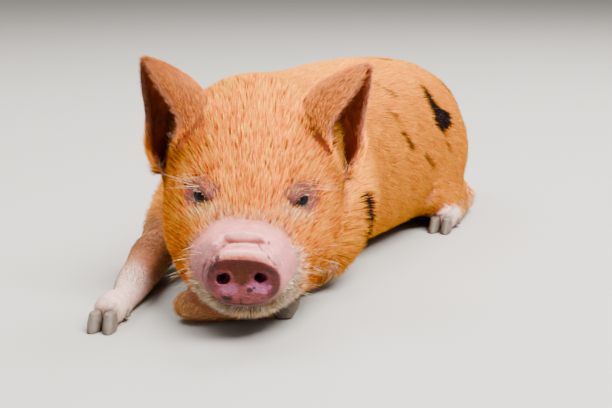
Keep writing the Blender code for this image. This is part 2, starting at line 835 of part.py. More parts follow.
def open_face(head):
    """Eye sockets with their lids, nostrils, mouth line and ear pits cut into the head."""
    for way in (-1, 1):
        centre, forward, along, up = eye_frame(way)
        socket = ball("socket", centre, [EYE_RADIUS + 2 * GAP] * 3, segments=16, rings=10)
        slit = almond("slit", centre, forward, along, up)
        across, back, height = EAR_PIT.centre
        pit = ball("ear_pit", place(way * across, back, height), EAR_PIT.radii, segments=20, rings=14)
        hole = nostril("nostril", way)
        for cutter in (socket, slit, pit, hole):
            combine(head, cutter, "DIFFERENCE")
        discard(socket, slit, pit, hole)
    mouth = groove("mouth", surface_line(head, mouth_line(), 0.0), MOUTH_RADIUS)
    combine(head, mouth, "DIFFERENCE")
    discard(mouth)
    keep_largest(head)


def hooves(name, beads, collection, sole_down=True):
    """Two claws in front of a foot and two dewclaws behind it."""
    tip, before = np.array(beads[-1][:3]), np.array(beads[-2][:3])
    run = tip - before
    heading = math.atan2(run[0], -run[1])
    forward = np.array([math.sin(heading), -math.cos(heading), 0.0])
    side = np.array([math.cos(heading), math.sin(heading), 0.0])
    toe = np.array([tip[0], tip[1], 0.0]) + forward * TOE_REACH
    made = []
    for which, way in (("left", 1), ("right", -1)):
        name_of_claw = f"claw_{name}_{which}"
        horn = claw(name_of_claw, toe + side * way * CLAW_SPREAD, heading, way, collection)
        if not sole_down:
            upended = coordinates(horn) * (1, 1, -1) + (0, 0, CLAW_HEIGHT + FLOOR_CLEARANCE)
            move_points(horn, upended)
            horn.data.flip_normals()
        made.append(horn)
        root = np.array([tip[0], tip[1], DEWCLAW_HEIGHT]) - forward * DEWCLAW_BACK
        made.append(dewclaw(f"dewclaw_{name}_{which}", root + side * way * DEWCLAW_SPREAD, heading, collection))
    return made


def cut_clear(made, *others):
    """A solid cut back to a small gap around its neighbours."""
    for other in others:
        grown = inflated(other, "gap")
        combine(made, grown, "DIFFERENCE")
        discard(grown)
    keep_largest(made)


def cut_floor(made):
    """A flat underside at the floor wherever a solid reaches it."""
    below = box("floor", (0, 0, -100), (1600, 1600, 200))
    combine(made, below, "DIFFERENCE")
    discard(below)
    keep_largest(made)


def lower_legs():
    """Each lower leg in two pieces that meet face to face, with the beads that its foot follows."""
    legs = {"foreleg_right": LOWER_FORELEG_RIGHT}
    for side, way in (("right", -1), ("left", 1)):
        legs[f"hindleg_{side}"] = beside_spine(LOWER_HINDLEG, way)
    made = {}
    for name, beads in legs.items():
        tip, before = Vector(beads[-1][:3]), Vector(beads[-2][:3])
        run = (before - tip).normalized()
        foot, lower = split(limb(name, beads), tip + run * FOOT_LENGTH, run, f"{name}_foot", f"{name}_lower")
        made[name] = (foot, lower, beads)
    foot = limb("foreleg_left_foot", CANNON_LEFT)
    lower = limb("foreleg_left_lower", LOWER_FORELEG_LEFT)
    cut_clear(foot, lower)
    made["foreleg_left"] = (foot, lower, CANNON_LEFT)
    return made


def flesh(nodes, parts):
    """The body's own nodes, cut from one smooth whole, and the lower legs let into it."""
    whole = body()
    cut_floor(whole)
    for name, (foot, lower, beads) in lower_legs().items():
        horns = hooves(name, beads, parts, sole_down=name != "foreleg_left")
        cut_floor(foot)
        cut_floor(lower)
        cut_clear(whole, foot, lower, *horns)
        cut_clear(foot, *horns)
        for made in (foot, lower, *horns):
            nodes[made.name] = made
    head, rest = cut_path(whole, HEAD_ENDS, "head", "rest", THROAT_LEAN)
    nodes["foreleg_right_upper"] = take_region(rest, SHOULDER_CUT_RIGHT, "foreleg_right_upper")
    nodes["foreleg_left_upper"] = take_region(rest, SHOULDER_CUT_LEFT, "foreleg_left_upper")
    for side, region in mirrored(SHANK_CUT).items():
        nodes[f"hindleg_{side}_shank"] = take_region(rest, region, f"hindleg_{side}_shank")
    for side, region in mirrored(THIGH_CUT).items():
        nodes[f"hindleg_{side}_thigh"] = take_region(rest, region, f"hindleg_{side}_thigh")
    neck, torso = cut_path(rest, NECK_ENDS, "neck", "torso")
    open_face(head)
    snout, head = cut_path(head, DISC_DEPTH, "snout", "head", DISC_LEAN)
    nodes.update({"snout": snout, "head": head, "neck": neck, "torso": torso})


def cut_path(made, back, front_name, back_name, lean=0.0):
    """A solid cut square across the path, some way back along it."""
    point = place(0.0, back, DISC_HEIGHT)
    ahead = place(0.0, back + 1.0, DISC_HEIGHT) - point
    ahead[2] = lean
    return split(made, point, ahead, front_name, back_name)


def build():
    """Every node of the piglet, in its own collection, standing centred over the origin."""
    parts = bpy.data.collections.new(OBJECT_NAME)
    bpy.context.scene.collection.children.link(parts)
    nodes = {}
    flesh(nodes, parts)
    for side, way in (("left", 1), ("right", -1)):
        ear = ear_shell(f"ear_{side}", way, parts)
        cut_clear(ear, nodes["head"], nodes["neck"])
        eye = ball(f"eye_{side}", eye_frame(way)[0], [EYE_RADIUS] * 3, parts, segments=16, rings=10)
        nodes.update({ear.name: ear, eye.name: eye})
    tail = limb("tail", beside_spine(TAIL, 1), parts, sides=8)
    cut_clear(tail, nodes["torso"])
    nodes["tail"] = tail
    dress(nodes, parts)
    centre(nodes)


def dress(nodes, parts):
    """A material for each node, by what it is made of."""
    colours = {
        "snout": MUZZLE_PINK,
        "eye": EYE_BROWN,
        "claw": HORN,
        "dewclaw": HORN,
        "foreleg_right_foot": PALE_LEG,
        "foreleg_right_lower": PALE_LEG,
    }
    for name, node in nodes.items():
        colour = colours.get(name) or colours.get(name.split("_")[0]) or GINGER
        for group in list(node.users_collection):
            group.objects.unlink(node)
        parts.objects.link(node)
        node.name = name
        node.data.name = name
        node.data.materials.clear()
        node.data.materials.append(material(name, colour))
        node.data.shade_smooth()
        node.data.set_sharp_from_angle(angle=math.radians(50))


def centre(nodes):
    """The nodes moved together so that the origin is the middle of the whole at the floor."""
    points = np.concatenate([coordinates(node) for node in nodes.values()])
    low, high = points.min(axis=0), points.max(axis=0)
    shift = np.array([(low[0] + high[0]) / 2, (low[1] + high[1]) / 2, low[2]])
    for node in nodes.values():
        move_points(node, coordinates(node) - shift)
    print("moved by", np.round(-shift, 3), "size", np.round(high - low, 1))


def main():
    """The piglet, from an empty scene."""
    clear_scene()
    build()


main()
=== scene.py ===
"""The looks of a kunekune piglet a few weeks old, life size, lying on its belly.

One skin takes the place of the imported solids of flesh, a coat of fine tufts grows from it, and the eyes and
hooves are dressed. Places and lengths are in millimetres in the body's own frame until a mesh is made:
the piglet faces -Y, +Z is up, and its own left side is +X. The head's own coordinates are across from its
middle to its left, back from the disc of the snout, and height: places in them are called head places.
A way of 1 is the piglet's left side and one of -1 its right. Colours are given as on a screen and used as
light.
"""

import itertools
import logging
import math
import time
from dataclasses import astuple, dataclass, field
from enum import Enum

import bmesh
import bpy
import numpy as np
from mathutils import Matrix, Vector
from mathutils.bvhtree import BVHTree
from mathutils.kdtree import KDTree


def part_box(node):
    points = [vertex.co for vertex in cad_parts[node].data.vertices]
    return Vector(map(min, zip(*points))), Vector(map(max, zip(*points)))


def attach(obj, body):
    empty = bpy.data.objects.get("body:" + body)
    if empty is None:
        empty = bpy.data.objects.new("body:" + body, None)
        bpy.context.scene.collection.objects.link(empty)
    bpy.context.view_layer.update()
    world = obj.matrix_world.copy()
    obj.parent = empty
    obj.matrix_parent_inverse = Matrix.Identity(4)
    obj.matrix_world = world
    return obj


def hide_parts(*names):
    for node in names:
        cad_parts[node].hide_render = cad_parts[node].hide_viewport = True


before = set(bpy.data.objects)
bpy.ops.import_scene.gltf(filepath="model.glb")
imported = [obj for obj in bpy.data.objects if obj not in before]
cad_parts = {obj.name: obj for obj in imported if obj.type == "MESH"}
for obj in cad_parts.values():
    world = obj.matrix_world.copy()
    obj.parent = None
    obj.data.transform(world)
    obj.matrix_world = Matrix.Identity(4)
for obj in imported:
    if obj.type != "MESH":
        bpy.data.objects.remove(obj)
LOG = logging.getLogger("piglet")
MM = 0.001
Array = np.ndarray
Place = tuple[float, float, float]
Colour = tuple[int, int, int]
SIDES = (("left", 1), ("right", -1))
FAR = 99.0
LOWEST_HAIR = 0.35
SNOUT_SHADE = (0.62, 0.56, 0.56)


def linear(colour: Colour) -> Array:
    """A screen colour from 0 to 255 as the light that a shader takes."""
    share = np.asarray(colour, float) / 255
    return np.where(share <= 0.04045, share / 12.92, ((share + 0.055) / 1.055) ** 2.4)


def unit(vectors: Array) -> Array:
    """Each row made one long."""
    return vectors / np.maximum(np.linalg.norm(vectors, axis=-1, keepdims=True), 1e-9)


def eased(values: Array, low: float, high: float) -> Array:
    """0 up to low, 1 from high on, and a smooth rise between them. Low may be the greater one."""
    share = np.clip((np.asarray(values, float) - low) / (high - low), 0, 1)
    return share * share * (3 - 2 * share)


def bell(distance: Array, reach: float) -> Array:
    """1 at no distance, falling away in a bell shape."""
    return np.exp(-((np.asarray(distance) / reach) ** 2))


def mixed(first: Array, second: Array, share: Array) -> Array:
    """Rows of the first, or one row for all, turned into the second by a share for each row."""
    share = np.clip(np.asarray(share, float), 0, 1)[:, None]
    return first * (1 - share) + second * share


def bow(start: Place, middle: Place, end: Place, count: int = 14) -> Array:
    """Points on a smooth bow through three places.

    Args:
        start: the first place.
        middle: the place halfway.
        end: the last place.
        count: how many points.

    Returns:
        The points, one to a row.
    """
    start, middle, end = (np.asarray(p, float) for p in (start, middle, end))
    control = 2 * middle - (start + end) / 2
    t = np.linspace(0, 1, count)[:, None]
    return start * (1 - t) ** 2 + control * 2 * t * (1 - t) + end * t * t


def nearest_on_line(points: Array, line: Array) -> tuple[Array, Array]:
    """How far each point is from a line of points, and how far along the line its nearest place is.

    Args:
        points: the points to measure.
        line: the line's own points, in order.

    Returns:
        The distances, and the places along the line as a share of its points.
    """
    nearest = np.full(len(points), 1e9)
    along = np.zeros(len(points))
    for index, (start, end) in enumerate(zip(line[:-1], line[1:])):
        span = end - start
        t = np.clip((points - start) @ span / np.dot(span, span), 0, 1)
        distance = np.linalg.norm(points - start - t[:, None] * span, axis=1)
        closer = distance < nearest
        nearest = np.where(closer, distance, nearest)
        along = np.where(closer, (index + t) / (len(line) - 1), along)
    return nearest, along


def lumps(points: Array, size: float, seed: int) -> Array:
    """Smooth random values from -1 to 1 at points, in lumps of one size.

    Args:
        points: body places.
        size: how large a lump is.
        seed: the seed of the random values.

    Returns:
        A value for each point.
    """
    cells = 24
    table = np.random.default_rng(seed).uniform(-1, 1, (cells, cells, cells))
    grid = points / size
    base = np.floor(grid).astype(int)
    part = grid - base
    part = part * part * (3 - 2 * part)
    total = np.zeros(len(points))
    for corner in itertools.product((0, 1), repeat=3):
        spot = (base + corner) % cells
        weight = np.prod(np.where(corner, part, 1 - part), axis=1)
        total += weight * table[spot[:, 0], spot[:, 1], spot[:, 2]]
    return total


def comes_from(names: Array, *words: str) -> Array:
    """True where the name of a point's solid starts or ends with one of the words."""
    return np.any([np.char.startswith(names, word) | np.char.endswith(names, word) for word in words], axis=0)


def by_solid(names: Array, plain: float, table: dict[str, float]) -> Array:
    """A value for each point, by a word that the name of its solid starts or ends with.

    Args:
        names: the name of each point's solid.
        plain: the value where no word fits.
        table: the words, each with its value.

    Returns:
        The values.
    """
    values = np.full(len(names), plain)
    for word, value in table.items():
        values[comes_from(names, word)] = value
    return values


def pulled(items: bpy.types.bpy_prop_collection, key: str, width: int, kind: type = float) -> Array:
    """One property of all the points, edges or triangles of a mesh.

    Args:
        items: the points, edges or triangles.
        key: the property's name.
        width: how many numbers each has.
        kind: the kind of number.

    Returns:
        One row for each of them.
    """
    flat = np.empty(len(items) * width, kind)
    items.foreach_get(key, flat)
    return flat.reshape(-1, width)


@dataclass
class BodyMap:
    """Where the head and the spine lie, and the way between them and the frame."""

    head_yaw: float = 26.0
    head_roll: float = 2.5
    roll_height: float = 60.0
    disc_x: float = 14.1
    disc_y: float = -91.6
    straight_until: float = 100.0
    bend_until: float = 180.0
    path_length: int = 470
    path_rounds: int = 4
    eye_centre: Place = (20.63, 55.34, 60.98)
    shift: Array = field(init=False)

    def __post_init__(self) -> None:
        """Finds the frame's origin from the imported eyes."""
        boxes = [np.mean(np.array(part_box(f"eye_{side}")), axis=0) / MM for side, _ in SIDES]
        self.shift = np.zeros(3)
        eyes = [self.from_head(np.array([self.eye_centre]) * (way, 1, 1))[0] for _, way in SIDES]
        self.shift = np.mean(boxes, axis=0) - np.mean(eyes, axis=0)
        steps = np.arange(self.path_length, dtype=float)
        bend = eased(steps, self.straight_until, self.bend_until)
        self.heading = math.radians(self.head_yaw) * (1 - bend)
        self.path_x = self.disc_x - np.cumsum(np.sin(self.heading))
        self.path_y = self.disc_y + np.cumsum(np.cos(self.heading))
        self.steps = steps

    def from_head(self, places: Array) -> Array:
        """Body places of places in the head's own coordinates.

        Args:
            places: head places.

        Returns:
            The body places.
        """
        yaw, roll = math.radians(self.head_yaw), math.radians(self.head_roll)
        rise = places[:, 2] - self.roll_height
        side = places[:, 0] * math.cos(roll) + rise * math.sin(roll)
        up = self.roll_height + rise * math.cos(roll) - places[:, 0] * math.sin(roll)
        x = self.disc_x + side * math.cos(yaw) - places[:, 1] * math.sin(yaw)
        y = self.disc_y + side * math.sin(yaw) + places[:, 1] * math.cos(yaw)
        return np.stack([x, y, up], axis=1)

    def to_head(self, points: Array) -> Array:
        """The head's own coordinates of body places."""
        turned = self.head_ways(points - (self.disc_x, self.disc_y, self.roll_height))
        return turned + (0, 0, self.roll_height)

    def head_ways(self, vectors: Array) -> Array:
        """Body directions in the head's own axes.

        Args:
            vectors: the directions, one to a row.

        Returns:
            The directions in the head's axes.
        """
        yaw, roll = math.radians(self.head_yaw), math.radians(self.head_roll)
        side = vectors[:, 0] * math.cos(yaw) + vectors[:, 1] * math.sin(yaw)
        back = -vectors[:, 0] * math.sin(yaw) + vectors[:, 1] * math.cos(yaw)
        across = side * math.cos(roll) - vectors[:, 2] * math.sin(roll)
        height = vectors[:, 2] * math.cos(roll) + side * math.sin(roll)
        return np.stack([across, back, height], axis=1)

    def body_ways(self, vectors: Array) -> Array:
        """Directions in the head's own axes as body directions."""
        return self.from_head(vectors) - self.from_head(np.zeros((1, 3)))

    def along_spine(self, points: Array) -> tuple[Array, Array]:
        """How far back along the spine each point is, and how far across from it.

        Args:
            points: body places.

        Returns:
            The distances back and the distances across.
        """
        back = np.clip(points[:, 1] - self.disc_y, 0, self.path_length - 1)
        for _ in range(self.path_rounds):
            heading = np.interp(back, self.steps, self.heading)
            gap_x = points[:, 0] - np.interp(back, self.steps, self.path_x)
            gap_y = points[:, 1] - np.interp(back, self.steps, self.path_y)
            back = back - gap_x * np.sin(heading) + gap_y * np.cos(heading)
        return back, gap_x * np.cos(heading) + gap_y * np.sin(heading)

    def spine_way(self, back: Array) -> Array:
        """The direction back along the spine."""
        heading = np.interp(back, self.steps, self.heading)
        return np.stack([-np.sin(heading), np.cos(heading), np.zeros(len(back))], axis=1)

    def to_frame(self, points: Array) -> Array:
        """Points of the frame, in metres, for body places."""
        return (points + self.shift) * MM

    def read(self, mesh: bpy.types.Mesh) -> Array:
        """A mesh's points as body places."""
        return pulled(mesh.vertices, "co", 3) / MM - self.shift

    def write(self, mesh: bpy.types.Mesh, points: Array) -> None:
        """A mesh's points set from body places."""
        mesh.vertices.foreach_set("co", self.to_frame(points).astype(np.float32).ravel())
        mesh.update()


def vertex_normals(mesh: bpy.types.Mesh) -> Array:
    """A mesh's vertex normals."""
    return pulled(mesh.vertex_normals, "vector", 3)


def mesh_edges(mesh: bpy.types.Mesh) -> Array:
    """A mesh's edges as pairs of points."""
    return pulled(mesh.edges, "vertices", 2, np.int32)


def mesh_triangles(mesh: bpy.types.Mesh) -> Array:
    """A mesh's faces as triangles."""
    mesh.calc_loop_triangles()
    return pulled(mesh.loop_triangles, "vertices", 3, np.int32)


def neighbour_mean(values: Array, edges: Array) -> Array:
    """The mean of each point's neighbours, for each column of values.

    Args:
        values: one row for each point.
        edges: pairs of neighbours.

    Returns:
        The means.
    """
    first, second = edges.T
    size = len(values)
    count = np.maximum(np.bincount(edges.ravel(), minlength=size), 1)
    columns = [
        np.bincount(first, values[second, k], size) + np.bincount(second, values[first, k], size)
        for k in range(values.shape[1])
    ]
    return np.stack(columns, axis=1) / count[:, None]


def relax(values: Array, edges: Array, rounds: int, strength: Array | float = 1.0) -> Array:
    """Values eased toward their neighbours' mean, round after round.

    Args:
        values: one row for each point.
        edges: pairs of neighbours.
        rounds: how many times.
        strength: how much each point follows, from 0 to 1.

    Returns:
        The smoother values.
    """
    share = 0.5 * np.broadcast_to(np.asarray(strength, float), (len(values),))[:, None]
    for _ in range(rounds):
        values = values + share * (neighbour_mean(values, edges) - values)
    return values


def select_only(piece: bpy.types.Object) -> None:
    """One object selected and active, and nothing else.

    Args:
        piece: the object.
    """
    bpy.ops.object.select_all(action="DESELECT")
    piece.select_set(True)
    bpy.context.view_layer.objects.active = piece


def apply_modifier(piece: bpy.types.Object, kind: str, **settings: object) -> None:
    """A modifier added with its settings and applied at once.

    Args:
        piece: the object.
        kind: the modifier's kind.
        settings: its own settings, by name.
    """
    select_only(piece)
    bpy.ops.object.modifier_add(type=kind)
    modifier = piece.modifiers[-1]
    for name, value in settings.items():
        setattr(modifier, name, value)
    bpy.ops.object.modifier_apply(modifier=modifier.name)


def link(name: str, data: bpy.types.ID) -> bpy.types.Object:
    """A new object for a mesh, a light or a camera, in the scene.

    Args:
        name: what it is called.
        data: the mesh, the light or the camera.

    Returns:
        The object.
    """
    piece = bpy.data.objects.new(name, data)
    bpy.context.scene.collection.objects.link(piece)
    return piece


def give_colours(mesh: bpy.types.Mesh, name: str, colours: Array) -> None:
    """A colour for each point of a mesh, as a named attribute.

    Args:
        mesh: the mesh.
        name: the attribute's name.
        colours: one row for each point, as light.
    """
    attribute = mesh.color_attributes.new(name, "FLOAT_COLOR", "POINT")
    filled = np.concatenate([np.clip(colours, 0, 1), np.ones((len(colours), 1))], axis=1)
    attribute.data.foreach_set("color", filled.astype(np.float32).ravel())


def give_values(mesh: bpy.types.Mesh, name: str, values: Array) -> None:
    """A value for each point of a mesh, as a named attribute."""
    attribute = mesh.attributes.new(name, "FLOAT", "POINT")
    attribute.data.foreach_set("value", np.asarray(values, np.float32))


class Graph:
    """A node tree with short ways to add nodes and to join their sockets."""

    def __init__(self, tree: bpy.types.NodeTree) -> None:
        """Takes the tree that the nodes go into."""
        self.tree = tree

    def add(self, kind: str, values: dict | None = None, **settings: object) -> bpy.types.Node:
        """A new node of a kind, with its own settings and the values of its inputs by name or number.

        Args:
            kind: its kind.
            values: the values of its inputs, by name or number.
            settings: its own settings, by name.

        Returns:
            The node.
        """
        node = self.tree.nodes.new(kind)
        for name, value in settings.items():
            setattr(node, name, value)
        for socket, value in (values or {}).items():
            node.inputs[socket].default_value = value
        return node

    def attribute(self, name: str) -> bpy.types.Node:
        """A node that reads one of the mesh's own attributes."""
        return self.add("ShaderNodeAttribute", attribute_name=name)

    def join(self, *links: tuple) -> None:
        """Links, each from a node's output to a node's input, both by name or number."""
        for source, output, target, entry in links:
            self.tree.links.new(source.outputs[output], target.inputs[entry])


class Effects:
    """Shader node groups that more than one finish uses."""

    @staticmethod
    def mottle() -> bpy.types.NodeTree:
        """A colour made lighter and darker in soft patches and fine grain, built once.

        Returns:
            The node group.
        """
        made = bpy.data.node_groups.get("mottle")
        if made:
            return made
        made = bpy.data.node_groups.new("mottle", "ShaderNodeTree")
        face = made.interface
        face.new_socket("Colour", in_out="INPUT", socket_type="NodeSocketColor")
        for name, value in (("Patch size", 120.0), ("Grain size", 900.0), ("Amount", 0.2)):
            socket = face.new_socket(name, in_out="INPUT", socket_type="NodeSocketFloat")
            socket.default_value = value
        face.new_socket("Colour", in_out="OUTPUT", socket_type="NodeSocketColor")
        face.new_socket("Grain", in_out="OUTPUT", socket_type="NodeSocketFloat")
        graph = Graph(made)
        start, end = graph.add("NodeGroupInput"), graph.add("NodeGroupOutput")
        place = graph.add("ShaderNodeTexCoord")
        patch = graph.add("ShaderNodeTexNoise", {"Detail": 3.0})
        grain = graph.add("ShaderNodeTexNoise", {"Detail": 4.0})
        both = graph.add("ShaderNodeMath", operation="ADD")
        bounds = {"From Min": 0.7, "From Max": 1.3, "To Min": -0.5, "To Max": 0.5}
        level = graph.add("ShaderNodeMapRange", bounds)
        much = graph.add("ShaderNodeMath", operation="MULTIPLY")
        around = graph.add("ShaderNodeMath", {1: 1.0}, operation="ADD")
        tinted = graph.add("ShaderNodeVectorMath", operation="SCALE")
        graph.join(
            (place, "Object", patch, "Vector"),
            (place, "Object", grain, "Vector"),
            (start, "Patch size", patch, "Scale"),
            (start, "Grain size", grain, "Scale"),
            (patch, "Fac", both, 0),
            (grain, "Fac", both, 1),
            (both, 0, level, "Value"),
            (level, 0, much, 0),
            (start, "Amount", much, 1),
            (much, 0, around, 0),
            (start, "Colour", tinted, 0),
            (around, 0, tinted, "Scale"),
            (tinted, 0, end, "Colour"),
            (grain, "Fac", end, "Grain"),
        )
        return made

    @staticmethod
    def use_mottle(graph: Graph, patches: float, grain: float, amount: float) -> bpy.types.Node:
        """The mottle group in a material, with the scales of its patches and its grain.

        Args:
            graph: the material's graph.
            patches: the scale of the patches.
            grain: the scale of the grain.
            amount: how strong both are.

        Returns:
            The node.
        """
        node = graph.add("ShaderNodeGroup", node_tree=Effects.mottle())
        for name, value in (("Patch size", patches), ("Grain size", grain), ("Amount", amount)):
            node.inputs[name].default_value = value
        return node


def shader_of(material: bpy.types.Material) -> bpy.types.ShaderNode:
    """A material's main shader."""
    return material.node_tree.nodes["Principled BSDF"]


def new_material(name: str) -> tuple[bpy.types.Material, bpy.types.ShaderNode, Graph]:
    """A material with nodes, its main shader and its graph.

    Args:
        name: the material's name.

    Returns:
        The material, its shader and its graph.
    """
    material = bpy.data.materials.new(name)
    material.use_nodes = True
    return material, shader_of(material), Graph(material.node_tree)


@dataclass(frozen=True)
class SkinFinish:
    """Moist bare skin on the snout, dull under the coat."""

    patch_scale: float = 260.0
    grain_scale: float = 2400.0
    variation: float = 0.5
    dull: float = 0.62
    moist: float = 0.36
    bump_depth: float = 0.0003
    bump_strength: float = 0.7
    pore_scale: float = 1500.0
    gloss: float = 0.16
    scatter: float = 0.16
    scatter_scale: float = 0.0022
    scatter_radius: tuple[float, float, float] = (1.0, 0.4, 0.25)

    def material(self) -> bpy.types.Material:
        """The skin's material: tint and moisture come from the skin's own attributes.

        Returns:
            The material.
        """
        material, shader, graph = new_material("piglet_skin")
        tint, moisture = graph.attribute("tint"), graph.attribute("moisture")
        mottle = Effects.use_mottle(graph, self.patch_scale, self.grain_scale, self.variation)
        rough = graph.add("ShaderNodeMapRange", {"To Min": self.dull, "To Max": self.moist})
        place = graph.add("ShaderNodeTexCoord")
        pores = graph.add("ShaderNodeTexVoronoi", {"Scale": self.pore_scale})
        height = graph.add("ShaderNodeMath", operation="ADD")
        bump = graph.add("ShaderNodeBump", {"Distance": self.bump_depth, "Strength": self.bump_strength})
        graph.join(
            (tint, "Color", mottle, "Colour"),
            (mottle, "Colour", shader, "Base Color"),
            (moisture, "Fac", rough, "Value"),
            (rough, 0, shader, "Roughness"),
            (place, "Object", pores, "Vector"),
            (pores, "Distance", height, 0),
            (mottle, "Grain", height, 1),
            (height, 0, bump, "Height"),
            (bump, "Normal", shader, "Normal"),
        )
        shader.inputs["Subsurface Weight"].default_value = self.scatter
        shader.inputs["Subsurface Scale"].default_value = self.scatter_scale
        shader.inputs["Subsurface Radius"].default_value = self.scatter_radius
        shader.inputs["Specular IOR Level"].default_value = self.gloss
        return material


@dataclass(frozen=True)
class CoatFinish:
    """Fine hair with little gloss, each tuft carrying its own colour."""

    roughness: float = 0.6
    gloss: float = 0.0

    def material(self) -> bpy.types.Material:
        """The coat's material.

        Returns:
            The material.
        """
        material, shader, graph = new_material("piglet_coat")
        graph.join((graph.attribute("tint"), "Color", shader, "Base Color"))
        shader.inputs["Roughness"].default_value = self.roughness
        shader.inputs["Specular IOR Level"].default_value = self.gloss
        return material


@dataclass(frozen=True)
class EyeFinish:
    """A wet, dark eye: pupil, brown iris with fine rays, and a dusky white at the corners."""

    pupil: Colour = (4, 3, 3)
    iris: Colour = (38, 20, 12)
    iris_edge: Colour = (9, 6, 6)
    white: Colour = (120, 88, 80)
    pupil_until: float = 0.34
    iris_from: float = 0.39
    iris_until: float = 0.60
    edge_at: float = 0.69
    white_from: float = 0.88
    ray_scale: float = 1400.0
    ray_depth: float = 0.08
    roughness: float = 0.4
    gloss: float = 0.05
    film: float = 0.28
    film_bending: float = 1.33
    film_roughness: float = 0.04

    def material(self) -> bpy.types.Material:
        """The eye's material, by the attribute that says how far a point is from the gaze.

        Returns:
            The material.
        """
        material, shader, graph = new_material("piglet_eye")
        gaze, place = graph.attribute("gaze"), graph.add("ShaderNodeTexCoord")
        rays = graph.add("ShaderNodeTexNoise", {"Scale": self.ray_scale})
        wobble = graph.add("ShaderNodeMath", {1: self.ray_depth}, operation="MULTIPLY_ADD")
        ramp = graph.add("ShaderNodeValToRGB")
        bands = (
            (0.04, self.pupil),
            (self.pupil_until, self.pupil),
            (self.iris_from, self.iris),
            (self.iris_until, self.iris),
            (self.edge_at, self.iris_edge),
            (self.white_from, self.white),
        )
        while len(ramp.color_ramp.elements) < len(bands):
            ramp.color_ramp.elements.new(1.0)
        for element, (spot, colour) in zip(ramp.color_ramp.elements, bands):
            element.position = spot
            element.color = (*linear(colour), 1)
        graph.join(
            (place, "Object", rays, "Vector"),
            (rays, "Fac", wobble, 0),
            (gaze, "Fac", wobble, 2),
            (wobble, 0, ramp, "Fac"),
            (ramp, "Color", shader, "Base Color"),
        )
        shader.inputs["Roughness"].default_value = self.roughness
        shader.inputs["Specular IOR Level"].default_value = self.gloss
        shader.inputs["Coat Weight"].default_value = self.film
        shader.inputs["Coat IOR"].default_value = self.film_bending
        shader.inputs["Coat Roughness"].default_value = self.film_roughness
        return material


@dataclass(frozen=True)
class HornFinish:
    """Dull grey-brown horn with growth rings and scuffs."""

    colour: Colour = (88, 74, 64)
    patch_scale: float = 420.0
    grain_scale: float = 2600.0
    variation: float = 0.6
    ring_scale: float = 700.0
    ring_waver: float = 3.0
    bump_depth: float = 0.00018
    bump_strength: float = 0.6
    roughness: float = 0.48

    def material(self) -> bpy.types.Material:
        """The hooves' material.

        Returns:
            The material.
        """
        material, shader, graph = new_material("piglet_horn")
        mottle = Effects.use_mottle(graph, self.patch_scale, self.grain_scale, self.variation)
        mottle.inputs["Colour"].default_value = (*linear(self.colour), 1)
        place = graph.add("ShaderNodeTexCoord")
        waves = {"Scale": self.ring_scale, "Distortion": self.ring_waver}
        rings = graph.add("ShaderNodeTexWave", waves, bands_direction="Z")
        bump = graph.add("ShaderNodeBump", {"Distance": self.bump_depth, "Strength": self.bump_strength})
        graph.join(
            (mottle, "Colour", shader, "Base Color"),
            (place, "Object", rings, "Vector"),
            (rings, "Fac", bump, "Height"),
            (bump, "Normal", shader, "Normal"),
        )
        shader.inputs["Roughness"].default_value = self.roughness
        return material


@dataclass(frozen=True)
class FloorFinish:
    """A plain pale floor."""

    colour: Colour = (150, 147, 142)
    roughness: float = 0.85

    def material(self) -> bpy.types.Material:
        """The floor's material.

        Returns:
            The material.
        """
        material, shader, _ = new_material("pale_floor")
        shader.inputs["Base Color"].default_value = (*linear(self.colour), 1)
        shader.inputs["Roughness"].default_value = self.roughness
        return material


@dataclass(frozen=True)
class Spot:
    """A marking on the coat: a line between two places on the body, with its half-width at each end."""

    start: Place
    end: Place
    start_reach: float
    end_reach: float
    strength: float = 1.0


@dataclass(frozen=True)
class Patch:
    """A soft patch of colour on the face, in the head's own coordinates."""

    centre: Place
    radii: Place
    colour: Colour
    strength: float = 1.0

    def gap(self, head: Array) -> Array:
        """How far out of the patch places are: 0 at its centre and 1 at its radii."""
        return np.linalg.norm((head - self.centre) / self.radii, axis=1)


